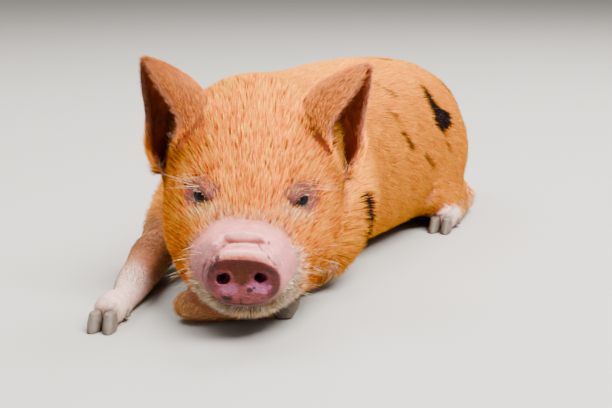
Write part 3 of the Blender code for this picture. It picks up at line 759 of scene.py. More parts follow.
@dataclass
class EyeSocket:
    """One eye's place: its centre, its gaze and the slit between its lids."""

    body: BodyMap
    way: int
    outward: float = 48.0
    upward: float = 8.0
    tilt: float = 14.0
    half_length: float = 4.8
    upper: float = 2.1
    lower: float = 1.8
    fullness: float = 0.85
    centre: Array = field(init=False)

    def __post_init__(self) -> None:
        """Finds the centre and the directions."""
        out, up = math.radians(self.outward), math.radians(self.upward)
        level = np.array([self.way * math.sin(out), -math.cos(out), 0.0]) * math.cos(up)
        gaze = level + (0, 0, math.sin(up))
        self.centre = self.body.from_head(np.array([self.body.eye_centre]) * (self.way, 1, 1))[0]
        self.gaze = unit(self.body.body_ways(gaze[None])[0])
        along = Vector((0, 0, 1)).cross(Vector(self.gaze)).normalized()
        rise = Vector(self.gaze).cross(along).normalized()
        turn = Matrix.Rotation(math.radians(self.tilt) * self.way, 3, Vector(self.gaze))
        self.along = np.array(turn @ along)
        self.rise = np.array(turn @ rise)

    def places(self, points: Array) -> Array:
        """Points as places along the slit, above it and out along the gaze."""
        return (points - self.centre) @ np.stack([self.along, self.rise, self.gaze], axis=1)

    def height(self, t: Array) -> Array:
        """The share of a lid's height that is open at a share of the way to a corner."""
        return (1 - t * t) ** self.fullness

    def outline(self) -> Array:
        """The slit's outline, a lens with both corners pointed.

        Returns:
            Its points in the slit's own axes.
        """
        t = np.linspace(-1, 1, 41)
        top = np.stack([t * self.half_length, self.upper * self.height(t)], axis=1)
        under = np.stack([t[::-1] * self.half_length, -self.lower * self.height(t)], axis=1)
        return np.concatenate([top, under[1:]])

    def from_slit(self, places: Array) -> tuple[Array, Array]:
        """How far places are outside the slit, negative inside it, and their nearest points on it.

        Args:
            places: places in the slit's own axes.

        Returns:
            The distances and the points.
        """
        line, flat = self.outline(), places[:, :2]
        nearest, along = nearest_on_line(flat, line)
        steps = np.linspace(0, 1, len(line))
        spot = np.stack([np.interp(along, steps, line[:, 0]), np.interp(along, steps, line[:, 1])], axis=1)
        share = np.clip(flat[:, 0] / self.half_length, -1, 1)
        reach = np.where(flat[:, 1] > 0, self.upper, self.lower) * self.height(share)
        inside = (np.abs(flat[:, 0]) < self.half_length) & (np.abs(flat[:, 1]) < reach)
        return np.where(inside, -nearest, nearest), spot


@dataclass
class EarMap:
    """One ear's middle line and the edges of its opening."""

    body: BodyMap
    way: int
    base: Place = (38.0, 93.0, 84.0)
    tip: Place = (58.0, 85.5, 127.0)
    radius: float = 17.4
    heights: tuple[float, ...] = (-0.36, -0.19, 0.0, 0.3, 0.67, 1.0)
    half_openings: tuple[float, ...] = (9, 21, 41, 47, 40, 34)
    facings: tuple[float, ...] = (40, 41, 45, 48, 56, 60)
    lean: float = 2.2
    taper: float = 2.6
    bluntness: float = 0.85
    edge_facing: float = 48.0

    def measure(self, points: Array, normals: Array) -> tuple[Array, Array, Array, Array]:
        """Where points are on the ear.

        Args:
            points: body places.
            normals: the skin's normals there.

        Returns:
            The share of the way from root to tip, how much each faces into the cup, how far it is from the
            edge of the opening, and the direction from root to tip.
        """
        places = self.body.to_head(points) * (self.way, 1, 1)
        ways = self.body.head_ways(normals) * (self.way, 1, 1)
        base, span = np.array(self.base), np.subtract(self.tip, self.base)
        up = (places[:, 2] - base[2]) / span[2]
        rise = np.clip(up, 0, 1)
        middle = base + np.stack([span[0] * rise ** self.lean, span[1] * up, span[2] * up], axis=1)
        radial = (places - middle) * (1, 1, 0)
        out = unit(radial)
        inward = eased(-(ways * out).sum(axis=1), -0.2, 0.35)
        turn = np.degrees(np.arctan2(radial[:, 0], -radial[:, 1])) % 360
        facing = np.interp(up, self.heights, self.facings)
        opening = np.interp(up, self.heights, self.half_openings)
        radius = self.radius * np.maximum(1 - rise ** self.taper, 0.02) ** self.bluntness
        gap = np.abs((turn - facing + 180) % 360 - 180) - opening
        edge = np.radians(gap) * radius
        slope = self.lean * span[0] * rise ** (self.lean - 1)
        axis = np.stack([slope, np.full(len(up), span[1]), np.full(len(up), span[2])], axis=1)
        axis = unit(axis) * (self.way, 1, 1)
        return up, inward, edge, unit(self.body.body_ways(axis))

    def edge_way(self, points: Array) -> Array:
        """The direction out over the edge of the opening, for points near it.

        Args:
            points: body places.

        Returns:
            A direction for each point.
        """
        facing = math.radians(self.edge_facing)
        way = np.array([[self.way * math.sin(facing), -math.cos(facing), 0.0]])
        return np.repeat(unit(self.body.body_ways(way)), len(points), axis=0)


@dataclass
class Sites:
    """What is known of each point of the skin: which solid it came from and where on the body it is."""

    FORE_ACROSS = (-40.0, -52.0)
    FORE_BACK = (25.0, -10.0)
    FORE_HEIGHT = (64.0, 40.0)
    EYE_REACH = 26.0
    SNOUT_MIDDLE = (-1.0, 36.0)
    SNOUT_TURNS = (0, 13, 29, 50, 70, 90, 110, 132, 145, 160, 171, 185, 204, 233, 270, 307, 335, 360)
    SNOUT_REACHES = (
        25.2, 25, 24, 21.8, 20.2, 19.2, 20.4, 22.6, 23.8, 25, 26.4, 26, 20.5, 16, 14, 15, 19.5, 25.2,
    )
    WHITE_HEIGHTS = (8, 18, 28, 36, 46, 58)
    WHITE_REACHES = (46, 32, 20, 17, 18, 18)

    body: BodyMap
    points: Array
    normals: Array
    names: Array

    def __post_init__(self) -> None:
        """Works out the head's coordinates, the eyes' and the ears'."""
        self.head = self.body.to_head(self.points)
        self.head_normals = self.body.head_ways(self.normals)
        self.back, self.across = self.body.along_spine(self.points)
        label, count = self.names, len(self.names)
        self.is_ear = comes_from(label, "ear").astype(float)
        self.is_face = comes_from(label, "head", "snout").astype(float)
        self.is_leg = comes_from(label, "lower", "foot").astype(float)
        self.is_foot = comes_from(label, "foot").astype(float)
        self.is_tail = comes_from(label, "tail").astype(float)
        beside = eased(self.points[:, 0], *self.FORE_ACROSS) * eased(self.points[:, 1], *self.FORE_BACK)
        low = eased(self.points[:, 2], *self.FORE_HEIGHT) * ~comes_from(label, "head", "snout", "neck")
        self.is_fore = beside * low
        self.slit = np.full(count, FAR)
        for _, way in SIDES:
            socket = EyeSocket(self.body, way)
            places = socket.places(self.points)
            near = np.flatnonzero((places[:, 2] > 0) & (np.linalg.norm(places, axis=1) < self.EYE_REACH))
            self.slit[near] = np.minimum(self.slit[near], socket.from_slit(places[near])[0])
        self.ear_up, self.ear_in, self.ear_edge = np.zeros(count), np.zeros(count), np.full(count, FAR)
        self.ear_axis, self.ear_edge_way = np.zeros((count, 3)), np.zeros((count, 3))
        for side, way in SIDES:
            mine = (label == f"ear_{side}")
            ear = EarMap(self.body, way)
            up, inward, edge, axis = ear.measure(self.points, self.normals)
            self.ear_up = np.where(mine, up, self.ear_up)
            self.ear_in = np.where(mine, inward, self.ear_in)
            self.ear_edge = np.where(mine, edge, self.ear_edge)
            self.ear_axis = np.where(mine[:, None], axis, self.ear_axis)
            self.ear_edge_way = np.where(mine[:, None], ear.edge_way(self.points), self.ear_edge_way)
        self.ear_share = self.is_ear * np.maximum(self.ear_in, eased(self.ear_up, -0.1, 0.18))
        self.bare = self.bare_snout()
        self.white = self.white_muzzle()
        self.pale_leg = self.pale_legs()

    def bare_snout(self) -> Array:
        """1 on the bare skin of the snout, 0 on the furred face.

        Returns:
            The share at each site.
        """
        across, rise = self.head[:, 0] - self.SNOUT_MIDDLE[0], self.head[:, 2] - self.SNOUT_MIDDLE[1]
        turn = np.degrees(np.arctan2(rise, across)) % 360
        limit = np.interp(turn, self.SNOUT_TURNS, self.SNOUT_REACHES)
        outside = np.hypot(across, rise) - limit + 0.8 * lumps(self.points, 2.4, 14)
        return eased(outside, 2.2, -2.2) * (self.head[:, 1] < 42) * self.is_face

    def white_muzzle(self) -> Array:
        """1 where the hair of the muzzle and the chin is white.

        Returns:
            The share at each site.
        """
        limit = np.interp(self.head[:, 2], self.WHITE_HEIGHTS, self.WHITE_REACHES)
        ragged = 4.0 * lumps(self.points, 5.0, 5) + 3.5 * lumps(self.points, 1.6, 15)
        return eased(self.head[:, 1] + ragged - limit, 8.0, -3.0) * self.is_face

    def pale_legs(self) -> Array:
        """1 on the pinkish white lower legs and feet, fading into the ginger above them.

        Returns:
            The share at each site.
        """
        fore = eased(self.points[:, 1], -28.0, -58.0) * (self.points[:, 0] < -45)
        ragged = fore + 0.15 * lumps(self.points, 5.0, 6) * (fore > 0.05) * (fore < 0.95)
        hind = self.is_foot * (self.points[:, 1] > 100)
        return np.clip(np.maximum(ragged * self.is_leg, hind), 0, 1)


@dataclass
class Markings:
    """The colours of skin and coat, shared by both."""

    ginger: Colour = (255, 150, 14)
    face: Colour = (253, 113, 12)
    gold: Colour = (255, 166, 36)
    white: Colour = (192, 170, 146)
    black: Colour = (30, 25, 26)
    leg_white: Colour = (214, 186, 176)
    leg_tan: Colour = (255, 188, 130)
    pink: Colour = (184, 104, 101)
    ear_back: Colour = (176, 98, 34)
    ear_rim: Colour = (146, 96, 80)
    ear_red: Colour = (152, 66, 26)
    # Painted shade deep in the ear's hollow.
    ear_hollow_shade: Colour = (84, 26, 10)
    lid: Colour = (82, 45, 43)
    lid_edge: Colour = (30, 22, 23)
    disc: Colour = (160, 86, 92)
    disc_dark: Colour = (128, 62, 64)
    disc_edge: Colour = (84, 42, 44)
    nostril_brow: Colour = (96, 46, 42)
    nostril_rim: Colour = (150, 62, 104)
    # Near-black painted shade inside the nostrils.
    nostril_painted_shade: Colour = (20, 8, 14)
    nostril_wall: Colour = (140, 56, 96)
    nostril_wing: Colour = (206, 92, 150)
    poll: Patch = Patch((0, 92, 108), (16, 34, 26), (255, 118, 12), 0.8)
    under_eye: Patch = Patch((18, 44, 54), (9, 8, 4), (244, 200, 150))
    # The coat's colour darkened by this for the skin under it, painted shade in the gaps between the tufts.
    painted_gap_shade: tuple[float, float, float] = (0.34, 0.24, 0.16)
    leg_shade: tuple[float, float, float] = (0.92, 0.78, 0.78)
    depth: float = 0.9
    spots: tuple[Spot, ...] = (
        Spot((-4.3, 183, 91), (0, 180.5, 83), 4.2, 7.2),
        Spot((0, 180.5, 83), (4, 183, 75), 6.8, 10.0),
        Spot((4, 183, 73), (4.6, 202, 69.5), 9.0, 5.4),
        Spot((5, 185, 70), (6.9, 188, 64), 8.6, 3.2),
        Spot((7.3, 188, 60), (8.2, 197, 49), 1.5, 1.8, 0.75),
        Spot((-15.6, 124, 100.7), (-5.9, 132, 93), 2.0, 2.6, 0.85),
        Spot((-3.5, 110, 89.2), (2.3, 118, 80.8), 1.5, 1.7, 0.6),
        Spot((5.6, 121, 71.5), (8, 130, 61.8), 2.2, 2.4, 0.9),
        Spot((5.1, 92, 68.6), (7.3, 103, 55.6), 1.2, 1.2, 0.4),
        Spot((9.2, 149, 54.5), (9, 163, 45.8), 1.9, 1.9, 0.75),
        Spot((-52, 190, 110), (-37, 197, 106.5), 2.6, 3.8, 0.8),
        Spot((17.8, 42, 47), (17.6, 42, 34), 4.6, 6.6),
        Spot((17.6, 42, 34), (15.5, 42, 22), 6.6, 5.6),
        Spot((16.3, 35, 42.5), (17.6, 33.6, 35.8), 1.3, 1.3, 0.85),
        Spot((-22, 7, 114), (-20, 6, 113.6), 1.6, 1.6, 0.5),
        Spot((-92, 150, 88), (-100, 162, 74), 5.0, 8.0),
        Spot((-100, 90, 62), (-104, 96, 54), 2.0, 2.6, 0.7),
        Spot((-90, 236, 92), (-82, 246, 94), 3.0, 5.0, 0.8),
        Spot((-58, 262, 104), (-50, 272, 96), 3.5, 5.5, 0.8),
        Spot((-12, 236, 90), (-8, 246, 80), 2.5, 3.5, 0.7),
    )
    disc_patches: tuple[Patch, ...] = (
        # The dark brown band along the top of the disc: partly its own colour, partly painted shadow of the
        # rim that overhangs it.
        Patch((-1.5, 0, 41.5), (21, 9, 4.8), (92, 28, 14), 1.0),
        Patch((-1.4, 0, 36.0), (4.6, 9, 5.6), (88, 36, 8), 0.95),
        Patch((-16.5, 2, 33), (3.8, 9, 8.5), (96, 42, 42), 0.8),
        Patch((13.5, 2, 33), (3.8, 9, 8.5), (96, 42, 42), 0.8),
        # The lighter purple-pink below the nostrils: partly the disc's own pink, partly painted highlight of
        # its wet sheen.
        Patch((-7.0, 2, 28.6), (4.4, 9, 2.4), (188, 112, 150), 0.8),
        Patch((7.0, 2, 30), (5.6, 9, 2.8), (196, 112, 160), 0.85),
        Patch((2.4, 2, 28.6), (1.7, 5, 1.2), (60, 20, 24), 0.9),
        Patch((4.6, 2, 29.6), (0.8, 5, 0.7), (60, 20, 24), 0.8),
        Patch((-8.0, 3, 23.6), (2.8, 5, 1.8), (34, 16, 18), 0.95),
        # The dark line down the cleft of the lower disc: painted shade in the cleft.
        Patch((-1.6, 3, 22.4), (0.8, 5, 2.6), (90, 36, 42), 0.8),
        Patch((-15.5, 2, 40), (3.6, 5, 2.8), (72, 38, 42), 0.85),
        Patch((12.5, 0, 39.4), (3.0, 5, 2.2), (66, 34, 34), 0.8),
        Patch((-15.0, 3, 29.0), (3.4, 5, 3.6), (132, 70, 78), 0.7),
    )
    skin_patches: tuple[Patch, ...] = (
        # The first four: darker mauve by the disc's upper corners and on the snout's sides, partly the skin's
        # own mauve and partly painted shade, deepest on the right side.
        Patch((-15.8, 8, 43.6), (4.2, 8, 4.6), (132, 66, 70), 0.85),
        Patch((14.6, 4, 42.5), (2.6, 7, 4.0), (146, 90, 102), 0.7),
        Patch((-22, 16, 38), (8, 16, 12), (164, 106, 110), 0.8),
        Patch((21, 14, 39), (7, 16, 11), (184, 122, 126), 0.65),
        Patch((-12.9, 1, 42.6), (1.5, 5, 1.4), (14, 8, 12), 1.0),
        Patch((10.6, 12, 49), (0.7, 4, 0.7), (40, 20, 24), 0.9),
        # Grey under the disc at the top of the chin: painted shadow of the disc.
        Patch((-1, 7, 18), (19, 9, 5.0), (118, 92, 86), 0.9),
    )

    def on_spots(self, points: Array) -> Array:
        """How black the coat is at each point.

        Args:
            points: body places.

        Returns:
            The share at each point.
        """
        black = np.zeros(len(points))
        ragged = 0.8 * lumps(points, 3.0, 11)
        for spot in self.spots:
            line = np.array([spot.start, spot.end], float)
            distance, along = nearest_on_line(points, line)
            reach = spot.start_reach + (spot.end_reach - spot.start_reach) * along
            reach = np.hypot(reach, self.depth)
            inside = eased(distance + ragged * np.minimum(reach / 3, 1) - reach, 1.2, -0.8)
            black = np.maximum(black, spot.strength * inside)
        return black

    def coat(self, sites: Sites) -> Array:
        """The coat's colour at each site, as light.

        Args:
            sites: what is known of each point.

        Returns:
            A colour for each site.
        """
        face_share = eased(sites.back, 120, 70) * (1 - sites.is_leg)
        colour = mixed(linear(self.ginger), linear(self.face), face_share)
        poll = self.poll.strength * bell(self.poll.gap(sites.head), 1.0)
        colour = mixed(colour, linear(self.poll.colour), poll)
        ragged = 0.75 + 0.35 * lumps(sites.points, 1.5, 16)
        under_eye = ragged * bell(self.under_eye.gap(np.abs(sites.head)), 1.0)
        colour = mixed(colour, linear(self.under_eye.colour), under_eye)
        colour = mixed(colour, linear(self.white), np.maximum(sites.white, sites.bare))
        colour = mixed(colour, linear(self.leg_tan), 0.85 * np.maximum(sites.is_leg, sites.is_fore))
        colour = mixed(colour, linear(self.leg_white), sites.pale_leg)
        ear = mixed(linear(self.ear_back), linear(self.ear_red), sites.ear_in)
        ear = mixed(ear, linear(self.ear_rim), bell(sites.ear_edge, 2.2) * 0.55)
        return mixed(colour, ear, sites.ear_share)

    def skin(self, sites: Sites) -> Array:
        """The skin's colour at each site, as light.

        Args:
            sites: what is known of each point.

        Returns:
            A colour for each site.
        """
        # The skin under the coat: the coat's colour darkened as painted shade in the gaps between the tufts.
        colour = self.coat(sites) * self.painted_gap_shade
        colour = mixed(colour, linear(self.black), self.on_spots(sites.points))
        colour = mixed(colour, linear(self.pink), 0.18 * (1 - sites.is_ear))
        colour = mixed(colour, linear(self.leg_white) * self.leg_shade, sites.pale_leg)
        colour = mixed(colour, linear(self.pink), sites.bare)
        # Inside the ear its own red, darkened farther round the cup from the opening as painted shade of the
        # hollow.
        inner = mixed(linear(self.ear_red), linear(self.ear_hollow_shade), eased(sites.ear_edge, 9, 26))
        colour = mixed(colour, inner, sites.is_ear * sites.ear_in)
        colour = mixed(colour, linear(self.ear_rim), sites.is_ear * bell(sites.ear_edge, 2.0) * 0.6)
        # Lid bands lighter and darker in step with the lid's folds: painted shade in the creases.
        folds = 0.82 + 0.18 * np.sin(sites.slit * 4.2 + lumps(sites.points, 3.0, 17))
        colour = mixed(colour, linear(self.lid) * folds[:, None], 0.92 * eased(sites.slit, 9.5, 5.0))
        colour = mixed(colour, linear(self.lid_edge), eased(sites.slit, 1.1, 0.3))
        colour = self.on_snout(sites, colour)
        disc = Snout.on_disc(sites.head, sites.head_normals) * sites.is_face
        colour = mixed(colour, self.on_disc(sites), disc)
        return self.at_nostrils(sites, colour)

    @staticmethod
    def deepened(tone: Colour) -> Array:
        """A colour of the snout as light, deepened for the strength of the studio's lamps."""
        return linear(tone) * SNOUT_SHADE

    def on_snout(self, sites: Sites, colour: Array) -> Array:
        """The snout's painted highlights on its folds and painted shade in its grooves and creases, then its
        patches of colour and painted shade, laid over the skin's colours.

        Args:
            sites: what is known of each point.
            colour: the colours so far, as light.

        Returns:
            The new colours.
        """
        head = sites.head
        on_face = sites.is_face * eased(head[:, 1], 24, 18)
        # Painted highlights on the tops of the folds and ridges, painted shade in the grooves and creases.
        for ends, reach, tone, strength in Snout.PAINTED_HIGHLIGHTS_AND_SHADE:
            distance, _ = nearest_on_line(head, bow(*ends))
            colour = mixed(colour, self.deepened(tone), strength * bell(distance, reach) * on_face)
        ragged = 0.2 * lumps(head, 1.0, 25)
        for patch in self.skin_patches:
            share = patch.strength * eased(patch.gap(head) + ragged, 1.25, 0.7)
            colour = mixed(colour, self.deepened(patch.colour), share * on_face)
        return colour

    def on_disc(self, sites: Sites) -> Array:
        """The colours of the disc of the snout, darker to its edge.

        Args:
            sites: what is known of each point.

        Returns:
            A colour for each site.
        """
        head = sites.head
        blotch = 0.5 + 0.4 * lumps(head, 2.2, 24) + 0.5 * lumps(head, 0.7, 30)
        flat = mixed(self.deepened(self.disc), self.deepened(self.disc_dark), blotch)
        ragged = 0.3 * lumps(head, 1.2, 26)
        for patch in self.disc_patches:
            share = patch.strength * eased(patch.gap(head) + ragged, 1.35, 0.6)
            flat = mixed(flat, self.deepened(patch.colour), share)
        return mixed(flat, self.deepened(self.disc_edge), 0.85 * eased(Snout.disc_share(head), 0.84, 0.97))

    def at_nostrils(self, sites: Sites, colour: Array) -> Array:
        """The colours round the nostrils, and the painted shade in them, laid over the disc's.

        Args:
            sites: what is known of each point.
            colour: the colours so far, as light.

        Returns:
            The new colours.
        """
        head = sites.head
        for _, way in SIDES:
            across, height = Snout.NOSTRILS[way]
            inside, rim = Snout.in_nostril(head, way)
            over = bell(Snout.nostril_gap(head, way) - 1.2, 0.3)
            over = over * eased(head[:, 2] - height, -1.5, 0.5) * (head[:, 1] < 8)
            colour = mixed(colour, self.deepened(self.nostril_brow), 0.8 * over * sites.is_face)
            colour = mixed(colour, self.deepened(self.nostril_rim), rim * sites.is_face)
            # Inside each nostril: near-black painted shade of its depth, broken by blots of the lining's own
            # purple-pink, more of them in the left one.
            blots = eased(lumps(head, 1.3, 29), -0.3, 0.4) * (0.35, 1.0)[way > 0]
            deep = mixed(linear(self.nostril_painted_shade), linear(self.nostril_wall), blots)
            colour = mixed(colour, deep, inside * sites.is_face)
            centre = (across + 1.5, 5.0, height - 0.5)
            wing = Patch(centre, (1.5, 6, 1.8), self.nostril_wing, (0.4, 0.8)[way > 0])
            share = wing.strength * eased(wing.gap(head) + 0.25 * lumps(head, 0.9, 27), 1.2, 0.5)
            colour = mixed(colour, self.deepened(wing.colour), share)
        return colour


class Snout:
    """The snout's own shapes, in the head's coordinates."""

    SOLID_NOSTRIL = (8.7, 35.0)
    SOLID_RADII = (3.7, 3.3)
    NOSTRILS = {-1: (-10.2, 33.9), 1: (7.0, 34.9)}
    NOSTRIL_RADII = (2.9, 2.6)
    NARROWING = 0.74
    DISC_MIDDLE = (-1.9, 33.2)
    DISC_RADII = (18.9, 13.6)
    DISC_TOP = 11.0
    DISC_SQUARENESS = 2.4
    FOLD = ((-11.8, 15.6, 50.4), (-1, 14.6, 51.8), (9, 14.6, 51.6))
    LEFT_CREASE = ((5.9, 9.4, 48.6), (9.0, 3.6, 46.7), (11.0, 0.2, 45.1))
    RIGHT_CREASE = ((-10, 10.5, 47.4), (-14.1, 8.3, 44.6), (-17, 7.3, 41))
    RIGHT_RIM = ((-14, 14.5, 48.5), (-18.6, 10.8, 42.8), (-20.6, 9.8, 36))
    LEFT_RIM = ((11.5, 10.5, 46.6), (14.6, 5.6, 42.9), (17.2, 2.6, 38))
    # Each ridge or groove: the bow it follows, its reach, and its height.
    RIDGES = (
        (FOLD, 2.2, 2.2),
        (((-11.4, 12.4, 48.8), (-1, 11.2, 48.9), (8.6, 11.8, 49.8)), 1.0, -2.8),
        (((-9, 7.2, 47.8), (0, 6.2, 48.6), (8.5, 7.2, 48)), 0.8, -0.8),
        (((-12.4, 1.8, 44.4), (0.5, 0.2, 46.9), (13, 2.2, 42.8)), 2.3, 1.7),
        (((-16, 5, 43), (-13.5, 3.5, 44.5), (-13, 3, 41)), 1.3, -1.1),
        (LEFT_CREASE, 0.8, -1.3),
        (((10.6, 0.4, 45.4), (12.8, 0.6, 43.2), (15, 0.6, 40.6)), 0.7, -1.0),
        (RIGHT_CREASE, 0.9, -0.9),
        (RIGHT_RIM, 1.3, 0.9),
        (LEFT_RIM, 1.2, 0.8),
        (((-6, 22, 52.5), (0, 21.5, 53.5), (6, 22, 52.5)), 1.1, -0.35),
        (((-1.2, 4, 24), (-1.4, 5, 21.5), (-1.4, 8, 19)), 0.8, -0.9),
    )
    # Each line of painted light and shade: the bow it follows, its reach, its colour and its strength. The
    # pale lines are painted highlights on the tops of the fold, the rim and the ridges; the dark lines are
    # painted shade in the grooves and creases; the orange line under the rim is partly its own colour and
    # partly painted shade.
    PAINTED_HIGHLIGHTS_AND_SHADE = (
        (FOLD, 2.2, (246, 188, 182), 0.85),
        (((-10.6, 12.2, 48.8), (-1, 11.2, 48.7), (8.3, 11.8, 49.8)), 1.6, (150, 44, 36), 0.95),
        (((-9, 8.8, 48), (0, 8, 48.8), (8.5, 8.8, 48.2)), 1.2, (232, 170, 160), 0.6),
        (((-9, 6.8, 47.6), (0, 5.8, 48.4), (8.5, 6.8, 47.8)), 0.6, (186, 110, 104), 0.7),
        (((-11.6, 1.6, 44.8), (0.5, 0.0, 47.4), (13, 2.2, 43.4)), 2.0, (252, 196, 176), 0.95),
        (((-11.6, 0.0, 43.2), (0.5, -2.0, 44.8), (13, 0.6, 41.4)), 1.0, (196, 84, 44), 0.85),
        (LEFT_CREASE, 0.8, (70, 30, 36), 0.9),
        (((10.6, 0.2, 45.4), (12.8, 0.5, 43.2), (15, 0.5, 40.6)), 0.7, (92, 40, 44), 0.85),
        (RIGHT_CREASE, 1.2, (104, 50, 56), 0.75),
        (RIGHT_RIM, 0.9, (232, 204, 208), 0.7),
        (LEFT_RIM, 0.9, (226, 190, 192), 0.6),
    )

    @classmethod
    def disc_share(cls, head: Array) -> Array:
        """How far out on the disc a place is: 0 at its middle and 1 at its edge.

        Args:
            head: head places.

        Returns:
            The share at each place.
        """
        across = np.abs(head[:, 0] - cls.DISC_MIDDLE[0]) / cls.DISC_RADII[0]
        rise = head[:, 2] - cls.DISC_MIDDLE[1]
        high = np.abs(rise) / np.where(rise > 0, cls.DISC_TOP, cls.DISC_RADII[1])
        return (across ** cls.DISC_SQUARENESS + high ** cls.DISC_SQUARENESS) ** (1 / cls.DISC_SQUARENESS)

    @classmethod
    def on_disc(cls, head: Array, ways: Array) -> Array:
        """1 on the flat front of the snout.

        Args:
            head: head places.
            ways: the normals there, in the head's own axes.

        Returns:
            The share at each place.
        """
        front = eased(-ways[:, 1], 0.15, 0.45) * eased(head[:, 1], 11.5, 8.0)
        nearest = np.minimum(*[cls.nostril_gap(head, way) for _, way in SIDES])
        inner = eased(head[:, 1], 16, 12) * (nearest < 1.3)
        return np.clip(front + inner, 0, 1) * eased(cls.disc_share(head), 1.06, 0.96)

    @classmethod
    def nostril_gap(cls, head: Array, way: int) -> Array:
        """How far out of a nostril a place is: 1 at its edge.

        Args:
            head: head places.
            way: 1 for left and -1 for right.

        Returns:
            The gap at each place.
        """
        across = (head[:, 0] - cls.NOSTRILS[way][0]) / cls.NOSTRIL_RADII[0]
        high = (head[:, 2] - cls.NOSTRILS[way][1]) / cls.NOSTRIL_RADII[1]
        return np.hypot(across, high) + 0.18 * lumps(head * (1, 0.3, 1), 1.9, 28)

    @classmethod
    def narrowed(cls, head: Array) -> Array:
        """Places with the solid's round nostrils drawn in to their own sizes and centres.

        Args:
            head: head places.

        Returns:
            The moved places.
        """
        for _, way in SIDES:
            old = np.array([way * cls.SOLID_NOSTRIL[0], 0.0, cls.SOLID_NOSTRIL[1]])
            new = np.array([cls.NOSTRILS[way][0], 0.0, cls.NOSTRILS[way][1]])
            offset = (head - old) * (1, 0, 1)
            gap = np.hypot(offset[:, 0] / cls.SOLID_RADII[0], offset[:, 2] / cls.SOLID_RADII[1])
            share = eased(gap, 2.3, 1.0) * eased(head[:, 1], 26, 18)
            head = head + share[:, None] * (new - old + (cls.NARROWING - 1) * offset)
        return head

    @classmethod
    def in_nostril(cls, head: Array, way: int) -> tuple[Array, Array]:
        """How much a place is inside a nostril, and how much on its pink lower rim.

        Args:
            head: head places.
            way: 1 for left and -1 for right.

        Returns:
            The share inside and the share on the rim.
        """
        gap = cls.nostril_gap(head, way)
        near = eased(head[:, 1], 24, 18)
        inside = eased(gap, 1.12, 0.72) * near
        low = eased(head[:, 2] - cls.NOSTRILS[way][1], 0.5, -1.8)
        rim = bell(gap - 1.1, 0.3) * low * eased(head[:, 1], 6, 3)
        return inside, 0.7 * rim


